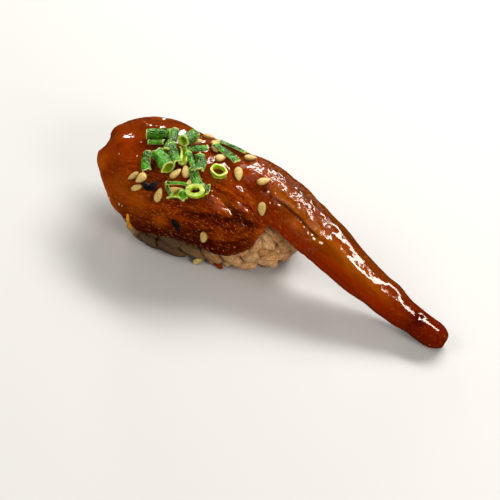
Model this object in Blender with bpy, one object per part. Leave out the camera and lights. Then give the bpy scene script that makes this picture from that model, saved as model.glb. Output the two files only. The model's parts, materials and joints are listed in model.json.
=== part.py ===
"""Nigiri sushi: a pressed loaf of rice under one glazed slice that ends in a long tail.

Run it with: blender --background --python part.py
Metres, +Z up. The origin is the middle of the loaf's flat underside. +X runs along the loaf
towards the tail, and -Y is the side where the slice hangs down as a flap. Sizes below are in
millimetres.
"""

import math

import bmesh
import bpy
import numpy as np

MM = 0.001

# The loaf of rice.
LOAF_LENGTH = 44.0
LOAF_WIDTH = 24.0
LOAF_HEIGHT = 17.0
LOAF_BELLY = 6.5  # the height at which the loaf is widest
LOAF_UNDERCUT = 5.0  # how far the belly's curve would run on below the flat underside
PLAN_SQUARENESS = 3.0  # 2 is an ellipse, and more is squarer
SIDE_SQUARENESS = 2.4
LOAF_DIVISIONS = 5  # of an icosphere: 5120 triangles

# The grains that give the loaf its uneven outline.
GRAIN_LENGTH = 7.0
GRAIN_WIDTH = 3.3
GRAIN_DEPTH = 2.7
GRAIN_COUNT = 210
GRAIN_TILT = 0.25  # how far a grain may lean out of the surface, as a slope
GRAIN_SEED = 7
GRAIN_GAP_DEPTH = 1.3  # of the gaps between grains

# The slice is two forms made one: a slab that lies over the loaf, and a tail that grows out of
# it. Each form follows a crest line. A table gives pairs of (place along X, size), which a
# smooth curve joins. A reach runs over the surface from the crest to the front or back edge, a
# droop is the slope at that edge in degrees, and the edge share is the thickness left there.
# The gap is the room between the form and the loaf's smooth outline.
SLAB = {
    "ends": (-31.0, 16.8),
    "crest_y": [(-31, 4.0), (-20, 3.4), (-6, 1.5), (17, 1.0)],
    "crest_z": [(-31, 15.8), (-22, 18.7), (-8, 20.3), (4, 20.3), (17, 17.5)],
    "front_reach": [
        (-31, 19.5), (-26, 20.9), (-17, 22.7), (-6, 22.5), (2, 22.8), (8, 22.6),
        (12.5, 20.5), (15.5, 15.5), (17, 10.0),
    ],
    "back_reach": [
        (-31, 11.6), (-27, 15.0), (-24, 15.8), (-20, 15.7), (-12, 14.7), (0, 12.8),
        (8, 9.0), (17, 4.0),
    ],
    "front_droop": [(-31, 60), (-25, 68), (-14, 80), (9, 86), (17, 60)],
    "back_droop": [(-31, 0), (-24, 10), (-17, 30), (-8, 52), (6, 70), (17, 60)],
    "thickness": [(-31, 2.4), (-24, 4.0), (-8, 5.6), (8, 5.6), (17, 4.0)],
    "edge_share": [(-31, 0.8), (-8, 0.5), (8, 0.6), (17, 0.8)],
    "rounding": (2.0, 3.0),
    "bluntness": (0.35, 0.3),
    "rings": 38,
    "easing": 6,
    "gap": 0.42,
}
TAIL = {
    "ends": (-10.0, 60.9),
    "crest_y": [
        (-10, 2.5), (2, 1.8), (12, 0.6), (18, -1.6), (28, -6.4), (40, -11.5), (50, -15.0),
        (56, -16.3), (61.5, -17.1),
    ],
    "crest_z": [
        (-10, 19.4), (2, 20.3), (10, 20.3), (18, 17.8), (28, 13.4), (40, 8.3), (50, 4.7),
        (61.5, 2.0),
    ],
    "front_reach": [
        (-10, 2.5), (2, 6.0), (12, 8.2), (20, 7.0), (28, 5.6), (40, 4.2), (50, 3.2),
        (61.5, 2.9),
    ],
    "back_reach": [
        (-10, 2.5), (2, 5.5), (10, 6.0), (16, 5.4), (28, 5.4), (40, 5.0), (50, 3.9),
        (61.5, 2.7),
    ],
    "front_droop": [(-10, 30), (12, 60), (24, 45), (40, 30), (61.5, 20)],
    "back_droop": [(-10, 30), (12, 60), (24, 45), (40, 30), (61.5, 20)],
    "thickness": [
        (-10, 2.6), (2, 5.0), (12, 6.4), (18, 7.4), (25, 8.2), (40, 7.0), (50, 5.8), (61.5, 4.8),
    ],
    "edge_share": [(-10, 1.0), (61.5, 1.0)],
    "rounding": (6.0, 2.4),
    "bluntness": (0.2, 0.55),
    "rings": 36,
    "easing": 0,
    "gap": 1.0,
}
RING_POINTS = 38
PROFILE_STEPS = 41
LEVEL_SHARE = 0.12  # the share of a reach that stays level before it bends down
EDGE_FULLNESS = 0.75  # less is a blunter edge
CREST_STEP = 0.1
PUSH_LINE = 36.0  # the length of the line from which points are pushed clear of the loaf
PUSH_PASSES = 12

# How far the slab's broad end is set back, in pairs of (place along Y, distance), and how far
# along the slab that still shows. The small step at Y = 6 is a notch.
END_OUTLINE = [
    (-14, 11.5), (-11, 9.0), (-8, 6.2), (-4, 2.8), (-1, 0.8), (2, 0.1), (4, 0.1), (5.2, 0.9),
    (6.2, 1.7), (7.2, 1.0), (9, 0.0), (11, 0.0), (14, 1.2), (17, 3.5),
]
END_OUTLINE_REACH = 18.0

# The groove along the tail where its two halves meet.
GROOVE_ENDS = (2.0, 48.0)
GROOVE_DEPTH = 0.5
GROOVE_WIDTH = 0.9
GROOVE_PLACE = 0.4  # beside the crest line, on the back


def along(table, place):
    """The value of a table at a place, on a smooth curve through its pairs."""
    places, values = np.array(table, float).T
    slopes = np.gradient(values, places)
    place = float(np.clip(place, places[0], places[-1]))
    i = int(np.clip(np.searchsorted(places, place) - 1, 0, len(places) - 2))
    step = places[i + 1] - places[i]
    t = (place - places[i]) / step
    ease = t * t * (3 - 2 * t)
    start_pull = t * (1 - t) ** 2 * step * slopes[i]
    end_pull = -t * t * (1 - t) * step * slopes[i + 1]
    return values[i] + (values[i + 1] - values[i]) * ease + start_pull + end_pull


def unit(vectors):
    """The same directions, each of length 1."""
    return vectors / np.linalg.norm(vectors, axis=-1, keepdims=True)


def squared_off(a, b, squareness):
    """The distance from the middle of a rounded rectangle whose outline is at 1."""
    return (a**squareness + b**squareness) ** (1 / squareness)


def loaf_level(points):
    """Below 1 inside the loaf's smooth outline, 1 on it, and above 1 outside."""
    x, y, z = np.abs(points[:, 0]), np.abs(points[:, 1]), points[:, 2] - LOAF_BELLY
    half_height = np.where(z > 0, LOAF_HEIGHT - LOAF_BELLY, LOAF_BELLY + LOAF_UNDERCUT)
    plan = squared_off(2 * x / LOAF_LENGTH, 2 * y / LOAF_WIDTH, PLAN_SQUARENESS)
    return squared_off(plan, np.abs(z) / half_height, SIDE_SQUARENESS)


def outline_points(directions):
    """Where rays from the loaf's middle meet its smooth outline, and which meet its underside."""
    centre = np.array([0, 0, LOAF_BELLY])
    reach = 1 / loaf_level(centre + directions)
    to_base = LOAF_BELLY / np.maximum(-directions[:, 2], 1e-9)
    return centre + directions * np.minimum(reach, to_base)[:, None], to_base <= reach


def spread_directions(count):
    """Directions spread evenly over a sphere, on a golden spiral."""
    i = np.arange(count) + 0.5
    rise = 1 - 2 * i / count
    turn = i * math.pi * (3 - math.sqrt(5))
    level = np.sqrt(1 - rise * rise)
    return np.stack([level * np.cos(turn), level * np.sin(turn), rise], axis=1)


def loaf_directions(sphere_points):
    """Directions from the loaf's middle, spread over its length as well as its ends."""
    return unit(sphere_points * np.array([LOAF_LENGTH, LOAF_WIDTH, LOAF_HEIGHT]))


def grains(rng):
    """Centres and axes of grains that lie in the loaf's surface."""
    points, on_base = outline_points(loaf_directions(spread_directions(GRAIN_COUNT)))
    steps = 0.05 * np.eye(3)
    slopes = [loaf_level(points + step) - loaf_level(points - step) for step in steps]
    normals = np.stack(slopes, axis=1)
    normals[on_base] = (0, 0, -1)
    normals = unit(normals)
    lengthwise = unit(np.cross(normals, rng.normal(size=normals.shape)))
    lengthwise += normals * rng.uniform(-GRAIN_TILT, GRAIN_TILT, (GRAIN_COUNT, 1))
    lengthwise = unit(lengthwise)
    sideways = unit(np.cross(normals, lengthwise))
    outwards = np.cross(lengthwise, sideways)
    return points - normals * GRAIN_DEPTH / 2, np.stack([lengthwise, sideways, outwards], axis=1)


def grain_hits(origin, directions, centres, axes):
    """How far along each ray the farthest grain reaches, or 0 where no grain is met."""
    half = np.array([GRAIN_LENGTH, GRAIN_WIDTH, GRAIN_DEPTH]) / 2
    farthest = np.zeros(len(directions))
    for centre, axis in zip(centres, axes):
        start = axis @ (origin - centre) / half
        ray = directions @ axis.T / half
        a = (ray * ray).sum(axis=1)
        b = ray @ start
        inside = b * b - a * (start @ start - 1)
        hit = (-b + np.sqrt(np.maximum(inside, 0))) / a
        farthest = np.where(inside > 0, np.maximum(farthest, hit), farthest)
    return farthest


def rice_shape():
    """The loaf: each point goes out to the farthest grain, and no farther than the outline."""
    shape = bmesh.new()
    bmesh.ops.create_icosphere(shape, subdivisions=LOAF_DIVISIONS, radius=1)
    directions = loaf_directions(np.array([v.co[:] for v in shape.verts]))
    centre = np.array([0, 0, LOAF_BELLY])
    points, on_base = outline_points(directions)
    outline = np.linalg.norm(points - centre, axis=1)
    hits = grain_hits(centre, directions, *grains(np.random.default_rng(GRAIN_SEED)))
    reach = np.where(on_base, outline, np.clip(hits, outline - GRAIN_GAP_DEPTH, outline))
    for vertex, point in zip(shape.verts, centre + directions * reach[:, None]):
        vertex.co = point
    return shape


def groove(form, place, out):
    """How deep the groove is at a place along X and a distance beside the crest."""
    start, end = GROOVE_ENDS
    if form is not TAIL or not start < place < end:
        return 0.0
    fade = math.sin(math.pi * (place - start) / (end - start)) ** 0.5
    return fade * GROOVE_DEPTH * math.exp(-(((out - GROOVE_PLACE) / GROOVE_WIDTH) ** 2))


def bent_profile(form, side, place):
    """The middle line from the crest to one edge: steps, how far out, how far down, slope."""
    steps = np.linspace(0, 1, PROFILE_STEPS)
    bend = np.clip((steps - LEVEL_SHARE) / (1 - LEVEL_SHARE), 0, 1)
    slope = math.radians(along(form[side + "_droop"], place)) * bend * bend * (3 - 2 * bend)
    length = along(form[side + "_reach"], place) / (PROFILE_STEPS - 1)
    out = np.concatenate([[0], np.cumsum(np.cos(slope[1:]))]) * length
    fall = np.concatenate([[0], np.cumsum(np.sin(slope[1:]))]) * length
    return steps, out, fall, slope


def section(form, place):
    """A ring across a form at a place along X: its middle line, which way is up, and the lift.

    The first two are (sideways, height) pairs, one for each point of the ring, and the lift is
    how far the point lies above or below the middle line.
    """
    half_thickness = along(form["thickness"], place) / 2
    edge = along(form["edge_share"], place)
    profiles = {side: bent_profile(form, side, place) for side in ("front", "back")}
    middle, upright, lifts = [], [], []
    for i in range(RING_POINTS):
        turn = 2 * math.pi * (i + 0.5) / RING_POINTS
        across = math.cos(turn)  # 1 at the back edge, -1 at the front edge
        side = math.copysign(1, across)
        steps, *lines = profiles["back" if across > 0 else "front"]
        out, fall, slope = (np.interp(abs(across), steps, line) for line in lines)
        half = half_thickness * (edge + (1 - edge) * (1 - across * across))
        lift = half * math.copysign(abs(math.sin(turn)) ** EDGE_FULLNESS, math.sin(turn))
        if lift > 0:
            lift -= groove(form, place, side * out)
        middle.append((side * out, -fall))
        upright.append((side * math.sin(slope), math.cos(slope)))
        lifts.append(lift)
    return np.array(middle), np.array(upright), np.array(lifts)


def end_size(form, place):
    """How much of its full size a form has at a place, since both of its ends are rounded."""
    size = 1.0
    for end, rounding, bluntness in zip(form["ends"], form["rounding"], form["bluntness"]):
        room = min(1.0, abs(place - end) / rounding)
        size *= max(bluntness, math.sqrt(1 - (1 - room) ** 2))
    return size


def clear_of_loaf(points, gap):
    """The same points, with those too near the loaf pushed out from its middle line."""
    middle = points * np.array([1, 0, 0])
    middle[:, 0] = np.clip(middle[:, 0], -PUSH_LINE / 2, PUSH_LINE / 2)
    middle[:, 2] = LOAF_BELLY
    moved = points.copy()
    for _ in range(PUSH_PASSES):
        level = loaf_level(moved)
        away = moved - middle
        wanted = 1 + gap / np.maximum(np.linalg.norm(away, axis=1), 1)
        grow = 1 + 0.6 * np.maximum(wanted / np.maximum(level, 0.2) - 1, 0)
        moved = middle + away * grow[:, None]
    return moved


def crest_point(form, place):
    """The point of a form's crest line at a place along X."""
    return np.array([place, along(form["crest_y"], place), along(form["crest_z"], place)])


def ring_points(form, place):
    """The ring at a place along X, set across the crest line and kept clear of the loaf."""
    ahead = unit(crest_point(form, place + CREST_STEP) - crest_point(form, place - CREST_STEP))
    sideways = unit(np.cross((0, 0, 1), ahead))
    upwards = np.cross(ahead, sideways)
    middle, upright, lifts = section(form, place)
    size = end_size(form, place)
    width = size if form is TAIL else 1.0
    line = crest_point(form, place) + width * middle[:, :1] * sideways + middle[:, 1:] * upwards
    if form is SLAB:
        fade = max(0.0, 1 - (place - form["ends"][0]) / END_OUTLINE_REACH)
        line[:, 0] += [fade * along(END_OUTLINE, y) for y in line[:, 1]]
        line = clear_of_loaf(line, form["gap"] + np.abs(lifts))
    points = line + size * lifts[:, None] * (upright[:, :1] * sideways + upright[:, 1:] * upwards)
    return clear_of_loaf(points, form["gap"])


def ring_places(form):
    """Places along X for the rings, closer together towards both ends."""
    start, end = form["ends"]
    shares = np.linspace(0, 1, form["rings"])
    eased = (shares + (1 - np.cos(math.pi * shares)) / 2) / 2
    return start + (end - start) * eased


def lofted(form):
    """Rings across a crest line, joined one to the next, with both ends closed."""
    rings = np.array([ring_points(form, place) for place in ring_places(form)])
    for _ in range(form["easing"]):
        rings[1:-1] = (rings[:-2] + 2 * rings[1:-1] + rings[2:]) / 4
        rings = np.array([clear_of_loaf(ring, form["gap"]) for ring in rings])
    shape = bmesh.new()
    rings = [[shape.verts.new(point) for point in ring] for ring in rings]
    for first, second in zip(rings, rings[1:]):
        for i in range(RING_POINTS):
            j = (i + 1) % RING_POINTS
            shape.faces.new((first[i], first[j], second[j], second[i]))
    shape.faces.new(rings[0])
    shape.faces.new(rings[-1])
    return shape


def make_material(name, colour, roughness):
    """A plain colour."""
    material = bpy.data.materials.new(name)
    material.use_nodes = True
    shader = material.node_tree.nodes["Principled BSDF"]
    shader.inputs["Base Color"].default_value = (*colour, 1)
    shader.inputs["Roughness"].default_value = roughness
    return material


def make_object(name, shape, material):
    """A named object from a shape in millimetres."""
    bmesh.ops.recalc_face_normals(shape, faces=shape.faces)
    bmesh.ops.scale(shape, vec=(MM, MM, MM), verts=shape.verts)
    mesh = bpy.data.meshes.new(name)
    shape.to_mesh(mesh)
    shape.free()
    mesh.materials.append(material)
    mesh.shade_smooth()
    thing = bpy.data.objects.new(name, mesh)
    bpy.context.scene.collection.objects.link(thing)
    return thing


def join(first, second):
    """Makes two overlapping objects one solid, which keeps the first one's name."""
    union = first.modifiers.new("join", "BOOLEAN")
    union.operation = "UNION"
    union.object = second
    joined = first.evaluated_get(bpy.context.evaluated_depsgraph_get())
    whole = bpy.data.meshes.new_from_object(joined)
    first.modifiers.clear()
    first.data = whole
    bpy.data.objects.remove(second)


def main():
    for old in list(bpy.data.objects):
        bpy.data.objects.remove(old)
    rice = make_material("rice", (0.72, 0.66, 0.55), 0.45)
    glazed = make_material("glazed_slice", (0.30, 0.06, 0.005), 0.15)
    make_object("rice", rice_shape(), rice)
    topping = make_object("topping", lofted(SLAB), glazed)
    join(topping, make_object("tail", lofted(TAIL), glazed))


main()
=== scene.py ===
# %% [markdown]
# # A piece of nigiri sushi
#
# One loaf of pressed rice, one long glazed slice over it, and a scatter of chives and sesame.
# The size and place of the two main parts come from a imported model, which is loaded first. This
# script gives each part its real surface: a finer mesh, its small forms and its material.

# %% Load the model that everything sits on
import json
import math
from collections import namedtuple

import bmesh
import bpy
import numpy as np
from mathutils import Matrix, Vector, noise
from mathutils.bvhtree import BVHTree

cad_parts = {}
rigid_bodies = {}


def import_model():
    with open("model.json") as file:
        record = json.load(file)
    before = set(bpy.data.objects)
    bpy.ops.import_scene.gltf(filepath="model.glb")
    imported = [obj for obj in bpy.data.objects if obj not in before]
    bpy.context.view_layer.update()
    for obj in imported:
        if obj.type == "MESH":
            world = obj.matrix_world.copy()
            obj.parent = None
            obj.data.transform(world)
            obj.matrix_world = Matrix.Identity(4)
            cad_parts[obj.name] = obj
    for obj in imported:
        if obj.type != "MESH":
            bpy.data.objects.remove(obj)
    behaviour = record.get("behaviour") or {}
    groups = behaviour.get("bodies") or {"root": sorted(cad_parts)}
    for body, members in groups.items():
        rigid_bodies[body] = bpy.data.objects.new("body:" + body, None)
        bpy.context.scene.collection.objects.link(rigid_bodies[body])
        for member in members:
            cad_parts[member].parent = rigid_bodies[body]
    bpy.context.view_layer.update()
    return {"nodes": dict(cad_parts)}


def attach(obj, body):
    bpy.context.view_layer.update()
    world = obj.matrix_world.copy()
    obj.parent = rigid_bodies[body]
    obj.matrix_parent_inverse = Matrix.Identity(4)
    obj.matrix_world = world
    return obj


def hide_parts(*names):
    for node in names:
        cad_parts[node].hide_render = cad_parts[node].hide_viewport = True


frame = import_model()
MM = 0.001
print("nodes:", sorted(frame["nodes"]))

# %% [markdown]
# ## The camera
#
# The picture looks down at about 45 degrees from a little to the right of the loaf's front. A
# long lens (73 mm) from about 25 cm away gives the same mild perspective. The camera comes
# first, because the small toppings are placed where a line of sight from it meets the slice.

# %% The camera
PICTURE_SIDE = 500  # pixels
FOCAL_PIXELS = 1018.2
SENSOR = 36.0
CAMERA_RISE = math.radians(45.15)
CAMERA_TURN = math.radians(20)
CAMERA_DISTANCE = 247.1 * MM
LOOKED_AT = Vector((10, -3, 0)) * MM

backwards = Vector((
    math.sin(CAMERA_TURN) * math.cos(CAMERA_RISE),
    -math.cos(CAMERA_TURN) * math.cos(CAMERA_RISE),
    math.sin(CAMERA_RISE),
))
camera_data = bpy.data.cameras.new("camera")
camera_data.lens = SENSOR * FOCAL_PIXELS / PICTURE_SIDE
camera_data.sensor_width = SENSOR
camera_data.clip_start = 0.01
camera = bpy.data.objects.new("camera", camera_data)
camera.location = LOOKED_AT + CAMERA_DISTANCE * backwards
camera.rotation_euler = backwards.to_track_quat("Z", "Y").to_euler()
bpy.context.scene.collection.objects.link(camera)
bpy.context.scene.camera = camera
print("lens in mm:", round(camera_data.lens, 2))


# %% A line of sight through a pixel
def sight(pixel):
    """The direction from the camera through a pixel of the picture."""
    across, down = pixel
    turn = backwards.to_track_quat("Z", "Y")
    half = PICTURE_SIDE / 2
    return (turn @ Vector((across - half, half - down, -FOCAL_PIXELS))).normalized()


print("through the middle:", tuple(round(c, 3) for c in sight((250, 250))))

# %% [markdown]
# ## Floor and light
#
# The shine on the slice comes from above and behind. One wide strip lamp high up behind the
# loaf draws the row of highlights along the crest and down the tail, and leaves the front in
# soft shade. A small lamp low at the back left makes the gleams on the slice's left lobe. Three
# broad fills and a dim, pale surrounding lift the shade. The glaze mirrors neither the fills nor
# the floor, and next to nothing of the surrounding, so the highlights stay few and sharp. The
# plain "Standard" view keeps the deep amber as deep as it is.

# %% A pale floor
FLOOR_HALF = 3.0
FLOOR_TONE = (0.60, 0.595, 0.58, 1)

floor_mesh = bpy.data.meshes.new("floor")
floor_corners = [(FLOOR_HALF * x, FLOOR_HALF * y, 0) for x, y in ((-1, -1), (1, -1), (1, 1), (-1, 1))]
floor_mesh.from_pydata(floor_corners, [], [(0, 1, 2, 3)])
floor = bpy.data.objects.new("floor", floor_mesh)
bpy.context.scene.collection.objects.link(floor)
floor_paint = bpy.data.materials.new("floor_paint")
floor_paint.use_nodes = True
floor_shader = floor_paint.node_tree.nodes["Principled BSDF"]
floor_shader.inputs["Base Color"].default_value = FLOOR_TONE
floor_shader.inputs["Roughness"].default_value = 0.7
floor_shader.inputs["Specular IOR Level"].default_value = 0.2
floor_mesh.materials.append(floor_paint)
floor.visible_glossy = False  # the wet glaze would mirror it as a pale film
print("floor:", 2 * FLOOR_HALF, "m across")


# %% Lamps
LAMP_DISTANCE = 0.6
HIGH_BEHIND = (0.20, 0.66, 0.72)
WHITE = (1.0, 1.0, 1.0)
SOFT_WHITE = (1.0, 0.98, 0.96)


def add_lamp(name, towards, size, watts, colour, wide=None):
    """A lamp that stands in a direction from the loaf and faces it, square or wide."""
    lamp_data = bpy.data.lights.new(name, "AREA")
    lamp_data.shape = "RECTANGLE"
    lamp_data.size = wide or size
    lamp_data.size_y = size
    lamp_data.energy = watts
    lamp_data.color = colour
    lamp = bpy.data.objects.new(name, lamp_data)
    direction = Vector(towards).normalized()
    lamp.location = LOOKED_AT + LAMP_DISTANCE * direction
    lamp.rotation_euler = direction.to_track_quat("Z", "Y").to_euler()
    bpy.context.scene.collection.objects.link(lamp)
    return lamp


add_lamp("strip_lamp", HIGH_BEHIND, 0.10, 3.8, SOFT_WHITE, wide=0.60)
add_lamp("lobe_lamp", (-0.436, 0.857, 0.276), 0.09, 0.55, WHITE)
FILLS = [
    # name, direction from the loaf, side in metres, watts, colour
    ("left_fill", (-0.65, -0.30, 0.70), 0.3, 1.1, (1.0, 0.96, 0.90)),
    ("right_fill", (0.75, -0.45, 0.50), 0.2, 1.7, (1.0, 0.95, 0.88)),
    ("back_fill", HIGH_BEHIND, 0.3, 1.3, SOFT_WHITE),
]
for row in FILLS:
    add_lamp(*row).visible_glossy = False  # soft light only, with no second row of highlights
print("lamps:", [light.name for light in bpy.data.lights])

# %% The surrounding
SURROUNDING_TONE = (1.0, 0.97, 0.93, 1)
LIGHTING_LEVEL = 0.27  # how bright it is as a light on the piece
MIRRORED_LEVEL = 0.012  # how bright it is where the glaze mirrors it

world = bpy.data.worlds.new("surrounding")
world.use_nodes = True
background = world.node_tree.nodes["Background"]
background.inputs["Color"].default_value = SURROUNDING_TONE
world_path = world.node_tree.nodes.new("ShaderNodeLightPath")
world_level = world.node_tree.nodes.new("ShaderNodeMapRange")
world_level.inputs["To Min"].default_value = LIGHTING_LEVEL
world_level.inputs["To Max"].default_value = MIRRORED_LEVEL
world.node_tree.links.new(world_path.outputs["Is Glossy Ray"], world_level.inputs["Value"])
world.node_tree.links.new(world_level.outputs["Result"], background.inputs["Strength"])
bpy.context.scene.world = world
bpy.context.scene.view_settings.view_transform = "Standard"
print("the surrounding lights with", LIGHTING_LEVEL, "and is mirrored with", MIRRORED_LEVEL)

# %% [markdown]
# ## Tools for shapes
#
# All the small forms are made by moving points of a fine mesh, so a few helpers read a mesh's
# points into one array, in millimetres, and put them back.


# %% Read and write a mesh's points
def points_of(mesh):
    """The mesh's points in millimetres, one row each."""
    flat = np.empty(3 * len(mesh.vertices))
    mesh.vertices.foreach_get("co", flat)
    return flat.reshape(-1, 3) / MM


def put_points(mesh, points):
    """Moves the mesh's points to these places, given in millimetres."""
    mesh.vertices.foreach_set("co", (points * MM).ravel())
    mesh.update()


def normals_of(mesh):
    """The direction in which the surface faces at each point."""
    flat = np.empty(3 * len(mesh.vertices))
    mesh.vertex_normals.foreach_get("vector", flat)
    return flat.reshape(-1, 3)


def smooth_step(low, high, values):
    """0 below low, 1 above high, and a soft rise between them. It also runs downhill."""
    t = np.clip((np.asarray(values, float) - low) / (high - low), 0, 1)
    return t * t * (3 - 2 * t)


def lumps(points, size, seed=0, octaves=2):
    """Soft random values, about -1 to 1, with lumps of a size in millimetres."""
    shift = Vector((seed * 17.3, seed * -9.1, seed * 5.7))
    scale = 1 / size
    return np.array([noise.fractal(Vector(p) * scale + shift, 0.8, 2.0, octaves) for p in points])


def evaluated_mesh(thing, name):
    """A plain mesh of what an object looks like with its modifiers."""
    bpy.context.view_layer.update()
    graph = bpy.context.evaluated_depsgraph_get()
    mesh = bpy.data.meshes.new_from_object(thing.evaluated_get(graph))
    mesh.name = name
    return mesh


def ball(sides, rings, radius):
    """A ball in the making, with its poles on Z.

    Its faces are sorted, because they would come in another order in each run.
    """
    shape = bmesh.new()
    bmesh.ops.create_uvsphere(shape, u_segments=sides, v_segments=rings, radius=radius)
    shape.verts.index_update()
    count = len(shape.verts)

    def number_of(face):
        first, second, third, *_ = sorted(vertex.index for vertex in face.verts)
        return (first * count + second) * count + third

    shape.faces.sort(key=number_of)
    return shape


def mesh_of(shape, name):
    """The mesh of a shape in the making, facing outwards. The shape itself is let go."""
    bmesh.ops.recalc_face_normals(shape, faces=shape.faces)
    mesh = bpy.data.meshes.new(name)
    shape.to_mesh(mesh)
    shape.free()
    mesh.shade_smooth()
    return mesh


def add_object(name, mesh):
    """A new object that shows a mesh, at the origin."""
    thing = bpy.data.objects.new(name, mesh)
    bpy.context.scene.collection.objects.link(thing)
    return thing


print("helpers ready")

# %% [markdown]
# ## The slice: one fine skin
#
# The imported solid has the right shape, in flat facets over a millimetre wide. A voxel remesh
# turns it into an even net of small squares, which can hold creases and fibres. A smoothing
# pass then melts the facets away.

# %% Remesh the slice
NET = 0.27  # the side of a square of the net
MELT_PASSES = 26
MELTED_AWAY = 0.15  # what the smoothing takes off the skin

slice_mesh = frame["nodes"]["topping"].data.copy()
shape = bmesh.new()
shape.from_mesh(slice_mesh)
bmesh.ops.remove_doubles(shape, verts=shape.verts, dist=0.001 * MM)
shape.to_mesh(slice_mesh)
shape.free()
glazed_slice = add_object("glazed_slice_piece", slice_mesh)
remesh = glazed_slice.modifiers.new("net", "REMESH")
remesh.mode = "VOXEL"
remesh.voxel_size = NET * MM
melt = glazed_slice.modifiers.new("melt", "SMOOTH")
melt.factor = 0.5
melt.iterations = MELT_PASSES
slice_mesh = evaluated_mesh(glazed_slice, "glazed_slice_piece")
glazed_slice.modifiers.clear()
glazed_slice.data = slice_mesh
slice_mesh.materials.clear()
slice_mesh.shade_smooth()
put_points(slice_mesh, points_of(slice_mesh) + MELTED_AWAY * normals_of(slice_mesh))
print("the slice's net has", len(slice_mesh.polygons), "squares")

# %% [markdown]
# Every small form is easiest to place where the eye sees it. So a line of sight through a
# pixel finds the point where it meets the skin, and forms are pressed along rows of such
# points. A wide soft form and a narrow sharp one are the same tool with another width.


# %% Points on the slice
def tree_of(mesh):
    """A search tree that finds where a line meets a mesh."""
    verts = [v.co.copy() for v in mesh.vertices]
    return BVHTree.FromPolygons(verts, [tuple(p.vertices) for p in mesh.polygons])


def seen_on_slice(pixel, tree):
    """The point of the slice behind a pixel and the way the skin faces there.

    A sight that just misses the slice gives the nearest point of the slice instead.
    """
    start = camera.location
    direction = sight(pixel)
    point, facing, _, _ = tree.ray_cast(start, direction)
    if point is None:
        beside = start + direction * (LOOKED_AT - start).dot(direction)
        point, facing, _, _ = tree.find_nearest(beside)
    return point, facing


def line_on_slice(pixels, tree, step=0.35):
    """Points close together on the skin, along a row of pixels, in millimetres."""
    corners = np.array([seen_on_slice(p, tree)[0][:] for p in pixels]) / MM
    parts = [corners[:1]]
    for a, b in zip(corners, corners[1:]):
        count = max(2, int(np.linalg.norm(b - a) / step))
        parts.append(a + (b - a) * np.linspace(0, 1, count + 1)[1:, None])
    return np.concatenate(parts)


def nearness(points, line, width, fade=2.5):
    """1 on a line and 0 far from it, with a bell-shaped side and softly fading ends."""
    nearest = np.full(len(points), np.inf)
    place = np.zeros(len(points))
    for i, spot in enumerate(line):
        distance = ((points - spot) ** 2).sum(axis=1)
        closer = distance < nearest
        nearest[closer] = distance[closer]
        place[closer] = i
    length = np.linalg.norm(np.diff(line, axis=0), axis=1).sum()
    run = place / max(1, len(line) - 1) * length
    ends = np.clip(np.minimum(run, length - run) / fade, 0, 1)
    return np.exp(-nearest / width**2) * ends * ends * (3 - 2 * ends)


packed_tree = tree_of(slice_mesh)
print("the tip is seen at", [round(c / MM, 1) for c in seen_on_slice((440, 335), packed_tree)[0]])

# %% [markdown]
# Smoothing has rounded the outline a little. A few soft pulls bring it back: each takes the
# skin near one pixel to where another pixel sees it, and its pull fades over some millimetres.

# %% Pull the outline
PULLS = [
    # pixel where the outline is, pixel where it should be, reach in millimetres
    ((112, 130), (110.5, 127.5), 2.0),
    ((165, 114.5), (165, 117.5), 4.5),
    ((179, 119), (177.5, 122.5), 3.5),
    ((104, 143.5), (106, 146), 1.6),
    ((117, 220), (121.5, 216.5), 2.2),
    ((131, 229), (133, 225), 1.6),
    ((345, 230), (346, 229), 3.0),
    ((398, 288), (400, 286), 2.5),
    ((365, 305.5), (365, 303.5), 2.5),
    ((385, 318), (384.5, 314.5), 2.5),
    ((403, 331), (403, 327.5), 2.5),
]
points = points_of(slice_mesh)
outline_shift = np.zeros_like(points)
for start, goal, reach in PULLS:
    spot, _ = seen_on_slice(start, packed_tree)
    away = (spot - camera.location).length
    shift = np.array(((sight(goal) - sight(start)) * away)[:]) / MM
    distance = ((points - np.array(spot[:]) / MM) ** 2).sum(axis=1)
    outline_shift += np.exp(-distance / reach**2)[:, None] * shift
CLEAR_OF_FLOOR = 0.1
points = points + outline_shift
points[:, 2] = np.maximum(points[:, 2], CLEAR_OF_FLOOR)
put_points(slice_mesh, points)
smooth_tree = tree_of(slice_mesh)
print("the longest pull:", round(float(np.linalg.norm(outline_shift, axis=1).max()), 2), "mm")

# %% [markdown]
# ## The slice: which way its fibres run
#
# Fibres, wrinkles and the vein run lengthwise, over the loaf and down the tail. Two running
# sizes follow them: how far along the crest a point lies, and how far round from it towards
# the front or the back. They are kept on the mesh as an attribute, so that the material can
# stretch its patterns along the same way.

# %% Lengthwise and crosswise
CREST_X = [-31, -20, -6, 2, 12, 18, 28, 40, 50, 61]
CREST_Y = [4.0, 3.4, 1.8, 1.8, 0.6, -1.6, -6.4, -11.5, -15.0, -17.1]
CREST_Z = [15.8, 18.7, 20.3, 20.3, 20.3, 17.8, 13.4, 8.3, 4.7, 2.0]
CREST_BEND = [12, 12, 12, 12, 8, 5, 4, 4, 3.5, 3]  # radius of the bend from front to back


def crosswise(points):
    """How far round from the crest each point lies: below 0 towards the front."""
    x = points[:, 0]
    bend = np.interp(x, CREST_X, CREST_BEND)
    out = points[:, 1] - np.interp(x, CREST_X, CREST_Y)
    up = points[:, 2] - np.interp(x, CREST_X, CREST_Z) + bend
    return bend * np.arctan2(out, up)


around = crosswise(points)
flow = np.stack([points[:, 0], around, points[:, 2]], axis=1)
print("round from the crest:", round(around.min(), 1), "to", round(around.max(), 1), "mm")

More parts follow.
